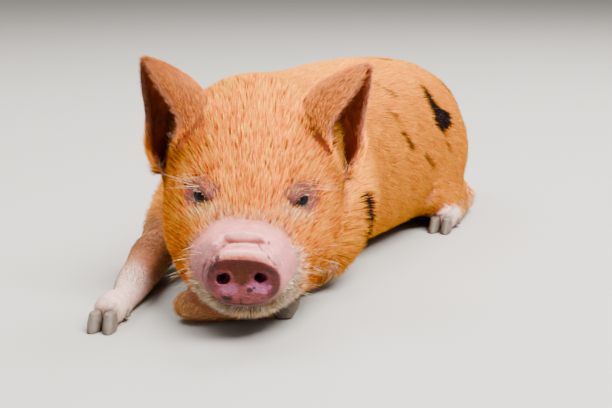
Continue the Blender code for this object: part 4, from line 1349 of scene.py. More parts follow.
@dataclass
class Skin:
    """One skin in place of every solid of flesh."""

    SOFTNESS = {"ear": 0.10, "foot": 0.15, "tail": 0.15, "lower": 0.4}
    COAT_DEPTH = {"head": 1.7, "snout": 1.7, "lower": 1.0, "foot": 0.55, "tail": 0.5, "ear": 0.4}
    EYEBALL_FRONT = (0, 0, 7)
    SNOUT_HEIGHT = 34
    EAR_PIT = (40.0, 89.5, 88.0)
    EAR_PIT_LOW = (40.0, 89.5, 86.0)
    SOLID_WELD = 0.002
    # Each fold of a lid: how far it is from the slit above and below, its reach, and its height on each.
    LID_FOLDS = (
        ((0.7, 0.7), 0.6, (0.45, 0.45)),
        ((2.2, 2.0), 1.0, (0.75, 0.45)),
        ((3.7, 3.2), 0.55, (-0.75, -0.5)),
        ((5.4, 4.8), 0.5, (-0.45, -0.35)),
    )

    body: BodyMap
    voxel: float = 1.3
    overlap: float = 0.45
    socket_fill: float = 0.9
    facet_rounds: int = 55
    plain_triangles: int = 42000
    eyeball_radius: float = 7.0
    lid_radius: float = 7.75
    separate: tuple[str, ...] = ("eye", "claw", "dewclaw")
    piece: bpy.types.Object = field(init=False)

    @property
    def points(self) -> Array:
        """The skin's points as body places."""
        return self.body.read(self.piece.data)

    @points.setter
    def points(self, places: Array) -> None:
        """The skin's points set from body places."""
        self.body.write(self.piece.data, places)

    def build(self) -> bpy.types.Object:
        """The whole skin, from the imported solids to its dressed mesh.

        Returns:
            The skin.
        """
        flesh = [name for name in sorted(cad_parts) if name.split("_")[0] not in self.separate]
        self.gather(flesh)
        apply_modifier(self.piece, "REMESH", mode="VOXEL", voxel_size=self.voxel * MM)
        self.smooth_facets()
        self.thin_out()
        self.refine()
        self.sink()
        self.shape_snout()
        self.shape_mouth()
        self.shape_eyes()
        self.settle()
        self.dress()
        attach(self.piece, "root")
        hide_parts(*flesh)
        return self.piece

    def gather(self, flesh: list[str]) -> None:
        """Copies of the solids, grown to overlap, with the eye sockets filled, joined in one mesh.

        Args:
            flesh: the names of the solids of flesh.
        """
        joined = bmesh.new()
        tables, faces, owners, start = [], [], [], 0
        grow = [(name, self.overlap) for name in flesh]
        grow += [(f"eye_{side}", self.socket_fill) for side, _ in SIDES]
        for name, by in grow:
            part = bmesh.new()
            part.from_mesh(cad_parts[name].data)
            bmesh.ops.remove_doubles(part, verts=part.verts, dist=self.SOLID_WELD * MM)
            part.normal_update()
            for vert in part.verts:
                vert.co += vert.normal * by * MM
            mesh = bpy.data.meshes.new("part")
            part.to_mesh(mesh)
            part.free()
            joined.from_mesh(mesh)
            if name in flesh:
                triangles = mesh_triangles(mesh)
                tables.append(self.body.read(mesh))
                faces.append(triangles + start)
                owners += [name] * len(triangles)
                start += len(mesh.vertices)
            bpy.data.meshes.remove(mesh)
        mesh = bpy.data.meshes.new("skin")
        joined.to_mesh(mesh)
        joined.free()
        self.piece = link("skin", mesh)
        self.owners = np.array(owners)
        self.tree = BVHTree.FromPolygons(np.concatenate(tables).tolist(), np.concatenate(faces).tolist())

    def owner(self, points: Array) -> Array:
        """The solid that each point is nearest to."""
        return self.owners[[self.tree.find_nearest(point)[2] for point in points.tolist()]]

    def smooth_facets(self) -> None:
        """The solids' facets smoothed away, with ears, nostrils and feet kept crisp."""
        points, edges = self.points, mesh_edges(self.piece.data)
        names = self.owner(points)
        head = self.body.to_head(points)
        soft = by_solid(names, 1.0, self.SOFTNESS)
        soft = soft * (0.05 + 0.95 * eased(head[:, 1] + 0.5 * np.abs(head[:, 2] - self.SNOUT_HEIGHT), 9, 22))
        for _, way in SIDES:
            pit = np.linalg.norm(head - np.array(self.EAR_PIT) * (way, 1, 1), axis=1)
            soft = soft * (0.1 + 0.9 * eased(pit, 15, 26))
        soft = relax(soft[:, None], edges, 6)[:, 0]
        points = relax(points, edges, self.facet_rounds, soft)
        for strength in (1.0, -1.04) * 8:
            points = relax(points, edges, 1, strength)
        self.points = points

    def thin_out(self) -> None:
        """Larger even faces on the body, with those of face, ears and feet left as they are."""
        mesh, points = self.piece.data, self.points
        names = self.owner(points)
        fine = (self.body.to_head(points)[:, 1] < 78) & (names != "torso")
        fine |= comes_from(names, "ear", "foot", "tail")
        plain = np.flatnonzero(~fine)
        self.piece.vertex_groups.new(name="plain").add(plain.tolist(), 0.5, "REPLACE")
        triangles = mesh_triangles(mesh)
        kept = int(fine[triangles].all(axis=1).sum())
        ratio = (kept + self.plain_triangles) / len(triangles)
        LOG.info("skin: %d of %d triangles kept fine", kept, len(triangles))
        if ratio < 1:
            apply_modifier(self.piece, "DECIMATE", ratio=ratio, vertex_group="plain", vertex_group_factor=1.0)
        self.piece.vertex_groups.clear()

    def subdivide(self, chosen: Array) -> None:
        """The edges between chosen points cut in two.

        Args:
            chosen: true for each point that takes part.
        """
        edit = bmesh.new()
        edit.from_mesh(self.piece.data)
        edit.verts.ensure_lookup_table()
        edges = [edge for edge in edit.edges if chosen[edge.verts[0].index] and chosen[edge.verts[1].index]]
        bmesh.ops.subdivide_edges(edit, edges=edges, cuts=1, use_grid_fill=True)
        bmesh.ops.triangulate(edit, faces=[face for face in edit.faces if len(face.verts) > 3])
        edit.to_mesh(self.piece.data)
        edit.free()

    def refine(self) -> None:
        """More faces round the eyes, on the snout and along the mouth."""
        for level in (0, 1):
            points = self.points
            head = self.body.to_head(points)
            mouth, _ = nearest_on_line(head, self.mouth_line())
            chosen = (head[:, 1] < (20, 9)[level]) & (np.abs(head[:, 2] - self.SNOUT_HEIGHT) < 20)
            chosen |= (mouth < (4, 0)[level]) & (head[:, 1] < 52)
            for _, way in SIDES:
                socket = EyeSocket(self.body, way)
                chosen |= self.from_eye(socket.places(points)) < (12, 7.5)[level]
            self.subdivide(chosen)
            points = self.points
            self.points = relax(points, mesh_edges(self.piece.data), 1, 0.6 * self.in_detail(points))

    def from_eye(self, places: Array) -> Array:
        """How far places round an eye are from the front of its ball."""
        return np.linalg.norm(places - self.EYEBALL_FRONT, axis=1)

    def in_detail(self, points: Array) -> Array:
        """1 in the regions with the finest faces.

        Args:
            points: body places.

        Returns:
            The share at each point.
        """
        head = self.body.to_head(points)
        found = ((head[:, 1] < 20) & (np.abs(head[:, 2] - self.SNOUT_HEIGHT) < 24)).astype(float)
        for _, way in SIDES:
            socket = EyeSocket(self.body, way)
            found = np.maximum(found, self.from_eye(socket.places(points)) < 14)
        return found

    def sink(self) -> None:
        """The skin drawn in from the coat's tips by the coat's depth."""
        points, edges = self.points, mesh_edges(self.piece.data)
        names = self.owner(points)
        head = self.body.to_head(points)
        depth = by_solid(names, 2.6, self.COAT_DEPTH)
        depth = depth * (0.1 + 0.9 * eased(head[:, 1] + 0.4 * np.abs(head[:, 2] - self.SNOUT_HEIGHT), 9, 34))
        for _, way in SIDES:
            pit = np.linalg.norm(head - np.array(self.EAR_PIT_LOW) * (way, 1, 1), axis=1)
            depth = depth * (0.25 + 0.75 * eased(pit, 14, 24))
        depth = relax(depth[:, None], edges, 14)
        self.points = points - vertex_normals(self.piece.data) * depth

    @staticmethod
    def mouth_line() -> Array:
        """The mouth from one corner round under the disc to the other, in the head's coordinates."""
        half = bow((0.0, 9.0, 17.5), (19.0, 20.0, 19.0), (33.0, 47.0, 23.5))
        return np.concatenate([half[::-1] * (-1, 1, 1), half[1:]])

    def shape_snout(self) -> None:
        """Folds over the snout, the disc's hollow and its rim, and the nostrils' wings."""
        self.points = self.body.from_head(Snout.narrowed(self.body.to_head(self.points)))
        points, normals = self.points, vertex_normals(self.piece.data)
        head = self.body.to_head(points)
        ways = self.body.head_ways(normals)
        rise = np.zeros(len(points))
        near = head[:, 1] < 34
        for ends, reach, height in Snout.RIDGES:
            distance, along = nearest_on_line(head, bow(*ends))
            fade = eased(np.abs(along - 0.5), 0.5, 0.36)
            rise += near * fade * height * bell(distance, reach)
        share = Snout.disc_share(head)
        front = eased(-ways[:, 1], 0.35, 0.7) * (head[:, 1] < 9)
        rise += front * (-1.0 * eased(share, 0.95, 0.5) + 0.3 * bell(share - 0.93, 0.07))
        wrinkle = 0.14 * lumps(head * (1, 0.4, 2.2), 1.3, 21) + 0.10 * lumps(head, 0.8, 22)
        rise += front * wrinkle + 0.12 * (1 - front) * (head[:, 1] < 22) * lumps(head * (0.5, 1, 1), 1.1, 23)
        for _, way in SIDES:
            gap = Snout.nostril_gap(head, way)
            rise += front * 0.35 * bell(gap - 1.36, 0.3)
            rise -= eased(gap, 1.05, 0.6) * (head[:, 1] < 7) * (2.0, 1.0)[way > 0]
        self.points = points + normals * rise[:, None]

    def shape_mouth(self) -> None:
        """The line of the mouth, with its lips on both sides."""
        points, normals = self.points, vertex_normals(self.piece.data)
        head = self.body.to_head(points)
        distance, along = nearest_on_line(head, self.mouth_line())
        fade = eased(np.abs(along - 0.5), 0.5, 0.42)
        rise = fade * (-1.7 * bell(distance, 0.85) + 0.7 * bell(distance - 2.2, 1.4))
        rise *= head[:, 1] < 56
        self.points = points + normals * rise[:, None]

    def shape_eyes(self) -> None:
        """Lids round each slit, with their margins, folds and creases, laid over the eyeball."""
        points = self.points
        for _, way in SIDES:
            socket = EyeSocket(self.body, way)
            places = socket.places(points)
            outside, spot = socket.from_slit(places)
            near = (places[:, 2] > 1.5) & (self.from_eye(places) < 13)
            snap = near & (np.abs(outside) < 0.24)
            places[snap, :2] = spot[snap]
            outside = np.where(snap, 0.0, outside)
            distance = np.linalg.norm(places, axis=1)
            over = eased(outside, 6.5, 1.5)
            lid = np.full(len(places), self.lid_radius)
            upper = places[:, 1] > 0
            for (far_upper, far_lower), reach, (high_upper, high_lower) in self.LID_FOLDS:
                fold = bell(outside - np.where(upper, far_upper, far_lower), reach)
                lid = lid + np.where(upper, high_upper, high_lower) * fold
            wanted = np.where(outside < -0.05, self.eyeball_radius - 1.3, lid)
            reach = distance * (1 - over) + wanted * over
            reach = np.where(outside < -0.05, wanted, reach)
            axes = np.stack([socket.along, socket.rise, socket.gaze])
            moved = socket.centre + (places * (reach / distance)[:, None]) @ axes
            points = np.where(near[:, None], moved, points)
        self.points = points

    def settle(self) -> None:
        """No point below the floor, and the last roughness taken off away from the sharp details."""
        mesh, points = self.piece.data, self.points
        detail = self.in_detail(points)
        for strength in (1.0, -1.03):
            points = relax(points, mesh_edges(mesh), 1, strength * (1 - detail))
        points[:, 2] = np.maximum(points[:, 2], 0.3)
        self.points = points
        mesh.shade_smooth()

    def dress(self) -> None:
        """The skin's colours, its moisture and its material."""
        mesh, points = self.piece.data, self.points
        self.sites = Sites(self.body, points, vertex_normals(mesh), self.owner(points))
        give_colours(mesh, "tint", Markings().skin(self.sites))
        disc = Snout.on_disc(self.sites.head, self.sites.head_normals) * self.sites.is_face
        moisture = np.maximum(0.35 * self.sites.bare, disc)
        moisture = np.maximum(moisture, 0.8 * eased(self.sites.slit, 1.0, 0.2))
        give_values(mesh, "moisture", moisture)
        mesh.materials.clear()
        mesh.materials.append(SkinFinish().material())
        LOG.info("skin: %d points, %d triangles", len(mesh.vertices), len(mesh_triangles(mesh)))


@dataclass(frozen=True)
class Growth:
    """How the coat grows somewhere: the tufts' length and width, how many to a square millimetre, how far
    they stand up at the root and at the tip in degrees, how much they stray, how far they draw together, how
    dark the roots are painted, as painted shade in the depth of the coat, and how much the tufts differ in
    colour."""

    length: float
    width: float
    density: float
    root_lift: float
    tip_lift: float
    stray: float
    clump: float
    painted_root_shade: float
    contrast: float

    def row(self) -> Array:
        """The growth as one row of numbers."""
        return np.array(astuple(self))


class Region(Enum):
    """The parts of the coat that grow in their own way."""

    # The eighth number of each growth is how dark its roots are painted, as painted shade in the depth of the
    # coat.
    BODY = Growth(9.5, 0.34, 1.5, 14, 8, 6, 0.30, 0.85, 0.6)
    FACE = Growth(7.4, 0.19, 6.2, 22, 13, 6, 0.80, 0.08, 1.8)
    POLL = Growth(8.6, 0.20, 5.8, 20, 11, 6, 0.80, 0.08, 1.9)
    MUZZLE = Growth(3.6, 0.14, 4.2, 30, 22, 15, 0.30, 0.14, 1.5)
    CHIN = Growth(5.6, 0.13, 3.4, 34, 26, 24, 0.35, 0.08, 1.7)
    BARE = Growth(2.0, 0.07, 0.8, 24, 13, 18, 0.0, 0.8, 0.5)
    EAR_BACK = Growth(4.6, 0.23, 2.6, 17, 10, 8, 0.30, 0.50, 0.6)
    EAR_IN = Growth(6.0, 0.22, 1.2, 20, 12, 10, 0.30, 0.55, 1.2)
    LEG = Growth(4.4, 0.26, 2.0, 17, 10, 8, 0.30, 0.55, 0.7)
    FOOT = Growth(3.2, 0.20, 2.6, 20, 12, 9, 0.25, 0.60, 0.6)
    TAIL = Growth(4.6, 0.20, 2.4, 17, 11, 9, 0.25, 0.55, 0.7)


@dataclass
class Coat:
    """Fine tufts that follow the lie of the coat, in pieces small enough to store."""

    # The triangles of a tuft that runs straight, and of one that bends.
    TRIANGLES = (4, 10)
    LIMBS = {"foreleg": ("upper", "lower", "foot"), "hindleg": ("thigh", "shank", "lower", "foot")}
    TAIL = (
        (-48, 290, 84), (-47, 303, 82), (-44, 312, 74), (-39, 317, 63),
        (-34, 316, 51), (-31, 311, 42), (-32, 307, 35), (-36, 306, 30),
    )

    body: BodyMap
    skin: Skin
    most_triangles: int = 190000
    seed: int = 7

    def build(self) -> list[bpy.types.Object]:
        """Every piece of the coat.

        Returns:
            The pieces.
        """
        mesh = self.skin.piece.data
        self.sites = self.skin.sites
        self.edges = mesh_edges(mesh)
        self.triangles = mesh_triangles(mesh)
        self.lie = self.lie_of_coat()
        growth = self.growth()
        roots = self.sow(growth[:, 2])
        tufts = self.grow(roots, growth)
        material = CoatFinish().material()
        pieces = []
        for name, chosen, bent in self.portions(tufts):
            portion = {key: value[chosen] for key, value in tufts.items()}
            pieces.append(self.make_piece(name, portion, material, bent))
        return pieces

    def growth(self) -> Array:
        """How the coat grows at each point of the skin, as rows of numbers.

        Returns:
            A row for each point of the skin.
        """
        sites = self.sites
        head = sites.head
        shares = [
            (Region.FACE, eased(sites.back, 125, 80)),
            (Region.POLL, eased(sites.back, 125, 95) * eased(head[:, 2], 78, 96) * eased(head[:, 1], 52, 70)),
            (Region.LEG, sites.is_leg),
            (Region.FOOT, sites.is_foot),
            (Region.MUZZLE, sites.white),
            (Region.CHIN, sites.white * eased(head[:, 2], 27, 17)),
            (Region.EAR_BACK, sites.ear_share),
            (Region.EAR_IN, sites.is_ear * sites.ear_in * eased(sites.ear_edge, -1, 2.5)),
            (Region.TAIL, sites.is_tail),
        ]
        rows = Region.BODY.value.row()
        for region, share in shares:
            share = relax(share[:, None], self.edges, 3)[:, 0]
            rows = mixed(rows, region.value.row(), share)
        near_eye = eased(sites.slit, 1.0, 8.0)
        rows[:, 0] *= 0.35 + 0.65 * near_eye
        rows[:, 1] *= 0.7 + 0.3 * near_eye
        rows[:, 2] *= eased(sites.slit, 1.2, 3.0) * (0.16 + 0.84 * eased(sites.slit, 4.0, 9.0))
        bare = eased(sites.bare, 0.15, 0.9)
        rows = mixed(rows, Region.BARE.value.row(), bare)
        rows[:, 2] *= 1 - eased(Snout.disc_share(head), 1.14, 1.04) * (head[:, 1] < 10) * sites.is_face
        rows[:, 2] *= 1 - bell(nearest_on_line(head, bow((-12, 1, 45), (0, -0.5, 47), (13, 1.5, 45)))[0], 3.0)
        deep = sites.ear_in * eased(sites.ear_up, 0.12, -0.05) * eased(sites.ear_edge, 2.5, 6.0)
        rows[:, 2] *= 1 - sites.is_ear * deep
        under = eased(sites.normals[:, 2], -0.55, -0.85) * eased(sites.points[:, 2], 14, 6)
        rows[:, 2] *= 1 - 0.85 * under * (1 - sites.is_ear)
        return rows

    def lie_of_coat(self) -> Array:
        """The direction in which the coat lies at each point of the skin.

        Returns:
            A direction for each point.
        """
        sites = self.sites
        focus = np.array([0.0, -16.0, 30.0])
        away = self.body.body_ways(unit(sites.head - focus))
        down = np.clip(np.abs(sites.across) / 50, 0, 1)[:, None] * (0, 0, -0.45)
        along = unit(self.body.spine_way(sites.back) + down)
        lie = unit(mixed(along, away, eased(sites.back, 135, 75)))
        for (side, _), (leg, chain) in itertools.product(SIDES, self.LIMBS.items()):
            solids = [f"{leg}_{side}_{length}" for length in chain]
            for upper, lower in zip(solids[:-1], solids[1:]):
                way = unit(self.middle(lower) - self.middle(upper))
                mine = (sites.names == lower) | ((sites.names == upper) & (upper != solids[0]))
                lie = np.where(mine[:, None], way, lie)
        ear_lie = unit(mixed(sites.ear_axis, sites.ear_edge_way, 0.75 * bell(sites.ear_edge, 3.0)))
        lie = np.where(sites.is_ear[:, None] > 0, ear_lie, lie)
        lie = np.where(sites.is_tail[:, None] > 0, self.down_tail(), lie)
        for _ in range(3):
            lie = lie - (lie * sites.normals).sum(axis=1)[:, None] * sites.normals
            lie = unit(relax(unit(lie), self.edges, 6))
        lie = lie - (lie * sites.normals).sum(axis=1)[:, None] * sites.normals
        return unit(lie)

    def middle(self, node: str) -> Array:
        """The middle of a solid's box."""
        return np.mean(np.array(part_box(node)), axis=0) / MM - self.body.shift

    def down_tail(self) -> Array:
        """The direction from the tail's root to its tip, at each point of the skin.

        Returns:
            A direction for each point.
        """
        line = np.array(self.TAIL, float)
        _, along = nearest_on_line(self.sites.points, line)
        steps = np.clip((along * (len(line) - 1)).astype(int), 0, len(line) - 2)
        return unit(line[steps + 1] - line[steps])

    def sow(self, density: Array) -> dict[str, Array]:
        """Roots scattered evenly over the skin by density.

        Args:
            density: tufts to a square millimetre, at each point.

        Returns:
            Each root's triangle and its place in that.
        """
        chance = np.random.default_rng(self.seed)
        first, second, third = np.swapaxes(self.sites.points[self.triangles], 0, 1)
        area = np.linalg.norm(np.cross(second - first, third - first), axis=1) / 2
        wanted = area * density[self.triangles].mean(axis=1)
        count = np.floor(wanted + chance.random(len(wanted))).astype(int)
        face = np.repeat(np.arange(len(count)), count)
        share = chance.random((len(face), 2))
        share = np.where(share.sum(axis=1, keepdims=True) > 1, 1 - share, share)
        weights = np.stack([1 - share.sum(axis=1), share[:, 0], share[:, 1]], axis=1)
        return {"face": face, "weights": weights}

    def spread(self, values: Array, roots: dict[str, Array]) -> Array:
        """Values at the roots, from the skin's points.

        Args:
            values: values at the skin's points.
            roots: each root's triangle and its place in that.

        Returns:
            A row for each root.
        """
        corners = values[self.triangles[roots["face"]]]
        if values.ndim == 1:
            return (corners * roots["weights"]).sum(axis=1)
        return (corners * roots["weights"][:, :, None]).sum(axis=1)

    def grow(self, roots: dict[str, Array], growth: Array) -> dict[str, Array]:
        """The tufts' bent middle lines, widths and colours.

        Args:
            roots: each root's triangle and its place in that.
            growth: how the coat grows at each point.

        Returns:
            What make_piece needs of each tuft, by name.
        """
        chance = np.random.default_rng(self.seed + 1)
        point = self.spread(self.sites.points, roots)
        normal = unit(self.spread(self.sites.normals, roots))
        lie = self.spread(self.lie, roots)
        lie = unit(lie - (lie * normal).sum(axis=1)[:, None] * normal)
        columns = self.spread(growth, roots).T
        length, width, _, root_lift, tip_lift, stray, clump, painted_root_shade, contrast = columns
        sites = Sites(self.body, point, normal, self.skin.owner(point))
        count = len(point)
        drift = lumps(point, 11.0, 31) * 1.2 + lumps(point, 4.0, 32) * 0.8
        turn = np.radians((drift + chance.normal(0, 1, count)) * stray)
        across = np.cross(normal, lie)
        way = lie * np.cos(turn)[:, None] + across * np.sin(turn)[:, None]
        length = length * chance.uniform(0.7, 1.25, count)
        first = np.radians(root_lift * chance.uniform(0.7, 1.3, count) + 4 * lumps(point, 4.0, 33))
        last = np.radians(tip_lift * chance.uniform(0.4, 1.6, count) + 4 * lumps(point, 4.0, 34))
        root = point - normal * 0.45
        half = (length / 2)[:, None]
        middle = root + half * (way * np.cos(first)[:, None] + normal * np.sin(first)[:, None])
        tip = middle + half * (way * np.cos(last)[:, None] + normal * np.sin(last)[:, None])
        leader = self.leaders(point, chance)
        pull = (clump * chance.uniform(0.4, 1.2, count))[:, None]
        tip = tip + pull * (tip[leader] - tip)
        middle = middle + 0.4 * pull * (middle[leader] - middle)
        for line in (middle, tip):
            line[:, 2] = np.maximum(line[:, 2], LOWEST_HAIR)
        tone = chance.normal(0, 1, count) * 0.15 + (chance.normal(0, 1, count) * 0.22)[leader]
        tone = contrast * (tone + 0.08 * lumps(point, 6.0, 35))
        tone = tone - contrast * 0.7 * (chance.random(count) < 0.23)[leader]
        pale = ((chance.random(count) < 0.14 * contrast) * chance.uniform(0.3, 1.0, count))[leader]
        marked = Markings()
        colour = mixed(marked.coat(sites), linear(marked.black), marked.on_spots(middle))
        colour = colour * np.exp(tone)[:, None] ** (1.0, 1.03, 1.1)
        tinted = (colour.mean(axis=1) > 0.06) * (1 - 0.5 * sites.white) * (1 - 0.85 * sites.is_ear)
        colour = mixed(colour, linear(marked.gold), pale * tinted)
        width = width * chance.uniform(0.75, 1.25, count)
        return {
            "root": root, "middle": middle, "tip": tip, "normal": normal, "width": width, "shade": painted_root_shade,
            "colour": colour, "name": sites.names, "head": sites.head, "white": sites.white,
        }

    @staticmethod
    def leaders(points: Array, chance: np.random.Generator, one_in: float = 4.5) -> Array:
        """For each root, the nearest of a few that the tufts round them draw toward.

        Args:
            points: the roots' places.
            chance: the source of random values.
            one_in: how many tufts there are to one of these few.

        Returns:
            The number of the nearest one, for each root.
        """
        chosen = np.flatnonzero(chance.random(len(points)) < 1 / one_in)
        tree = KDTree(len(chosen))
        for index in chosen:
            tree.insert(points[index], int(index))
        tree.balance()
        return np.array([tree.find(point)[1] for point in points])

    def portions(self, tufts: dict[str, Array]) -> list[tuple[str, Array, bool]]:
        """Names of the coat's pieces, the tufts in each, and whether they bend.

        Args:
            tufts: the tufts' lines, widths, colours and names.

        Returns:
            A name, the numbers of its tufts and whether they bend, for each piece.
        """
        name, head = tufts["name"], tufts["head"]
        face = comes_from(name, "head", "snout")
        group = np.full(len(name), "coat_body", dtype="U24")
        group[face] = "coat_face"
        group[face & (tufts["white"] > 0.35)] = "coat_muzzle"
        group[comes_from(name, "neck")] = "coat_neck"
        group[comes_from(name, "ear")] = "coat_ear"
        group[comes_from(name, "foreleg", "hindleg")] = "coat_leg"
        group[comes_from(name, "tail")] = "coat_tail"
        found = []
        for base in np.unique(group):
            bent = base == "coat_muzzle"
            members = np.flatnonzero(group == base)
            parts = max(1, math.ceil(len(members) * self.TRIANGLES[bent] / self.most_triangles))
            order = members[np.argsort(head[members, 1], kind="stable")]
            for number, part in enumerate(np.array_split(order, parts), 1):
                found.append((f"{base}_{number}", part, bent))
        return found

    def make_piece(
        self, name: str, tufts: dict[str, Array], material: bpy.types.Material, bent: bool
    ) -> bpy.types.Object:
        """One piece of the coat: each tuft a thin three-sided blade, closed to a point.

        Args:
            name: what the piece is called.
            tufts: its tufts' roots, middles, tips, normals, widths, colours and painted root shades.
            material: its material.
            bent: whether the blades bend at their middles or run straight from root to tip.

        Returns:
            The piece.
        """
        count = len(tufts["root"])
        flow = unit(tufts["tip"] - tufts["root"])
        side = unit(np.cross(flow, tufts["normal"]))
        up = np.cross(side, flow)
        width = tufts["width"][:, None]
        bends = ((tufts["root"], 1.0), (tufts["middle"], 0.85)) if bent else ((tufts["root"], 1.15),)
        corners = ((0.5, -0.22), (-0.5, -0.22), (0.0, 0.34))
        rings = [
            centre + side * width * across * share + up * width * high * share
            for centre, share in bends
            for across, high in corners
        ]
        points = np.stack([*rings, tufts["tip"]], axis=1)
        faces = [(0, 2, 1), (0, 1, 3), (1, 2, 3), (2, 0, 3)]
        if bent:
            faces = [(0, 2, 1), (0, 1, 4, 3), (1, 2, 5, 4), (2, 0, 3, 5), (3, 4, 6), (4, 5, 6), (5, 3, 6)]
        each = points.shape[1]
        sizes = np.array([len(face) for face in faces])
        pattern = np.concatenate(faces)
        loops = (pattern[None] + each * np.arange(count)[:, None]).ravel().astype(np.int32)
        mesh = bpy.data.meshes.new(name)
        mesh.vertices.add(count * each)
        mesh.loops.add(len(loops))
        mesh.polygons.add(count * len(faces))
        mesh.loops.foreach_set("vertex_index", loops)
        starts = np.concatenate([[0], np.cumsum(np.tile(sizes, count))[:-1]]).astype(np.int32)
        mesh.polygons.foreach_set("loop_start", starts)
        self.body.write(mesh, points.reshape(-1, 3))
        mesh.update(calc_edges=True)
        mesh.shade_smooth()
        # Each tuft's root corners darkened by its painted root shade, painted shade deep in the coat; the tip
        # a little paler.
        shade = np.ones((count, each))
        shade[:, :3] = tufts["shade"][:, None]
        shade[:, -1] = 1.25
        give_colours(mesh, "tint", (tufts["colour"][:, None] * shade[:, :, None]).reshape(-1, 3))
        self.unwrap(mesh, tufts, pattern, each)
        mesh.materials.append(material)
        piece = link(name, mesh)
        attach(piece, "root")
        LOG.info("%s: %d tufts, %d triangles", name, count, count * self.TRIANGLES[bent])
        return piece

    @staticmethod
    def unwrap(mesh: bpy.types.Mesh, tufts: dict[str, Array], pattern: Array, each: int) -> None:
        """The OFBake map: each tuft a small patch at its root's place on an unwrap of the skin's shape.

        Args:
            mesh: the piece's mesh.
            tufts: its tufts.
            pattern: a tuft's corners in the order of its faces.
            each: how many points a tuft has.
        """
        patch, margin = 0.003, 0.008
        roots, normals = tufts["root"], tufts["normal"]
        axis = np.abs(normals).argmax(axis=1)
        positive = normals[np.arange(len(roots)), axis] > 0
        others = np.array([(1, 2), (0, 2), (0, 1)])[axis]
        low, span = roots.min(axis=0), np.ptp(roots, axis=0) + 1e-6
        share = (roots - low) / span
        u = share[np.arange(len(roots)), others[:, 0]]
        v = share[np.arange(len(roots)), others[:, 1]]
        cell = np.stack([axis / 3, positive / 2], axis=1)
        size = np.array([1 / 3, 1 / 2])
        place = cell + margin + np.stack([u, v], axis=1) * (size - 2 * margin)
        around = np.array([(-1, -1), (1, -1), (0, -0.4), (-0.8, 0.2), (0.8, 0.2), (0, 0.5), (0, 1)])
        around = around[[0, 1, 2, 6] if each == 4 else slice(None)] * patch / 2
        spots = place[:, None] + around[None]
        layer = mesh.uv_layers.new(name="OFBake")
        layer.data.foreach_set("uv", spots[:, pattern].astype(np.float32).ravel())


@dataclass(frozen=True)
class Hair:
    """One long hair: where it starts, its direction, what bends it, its length and its width."""

    start: Array
    way: Array
    bend: Array
    length: float
    width: float


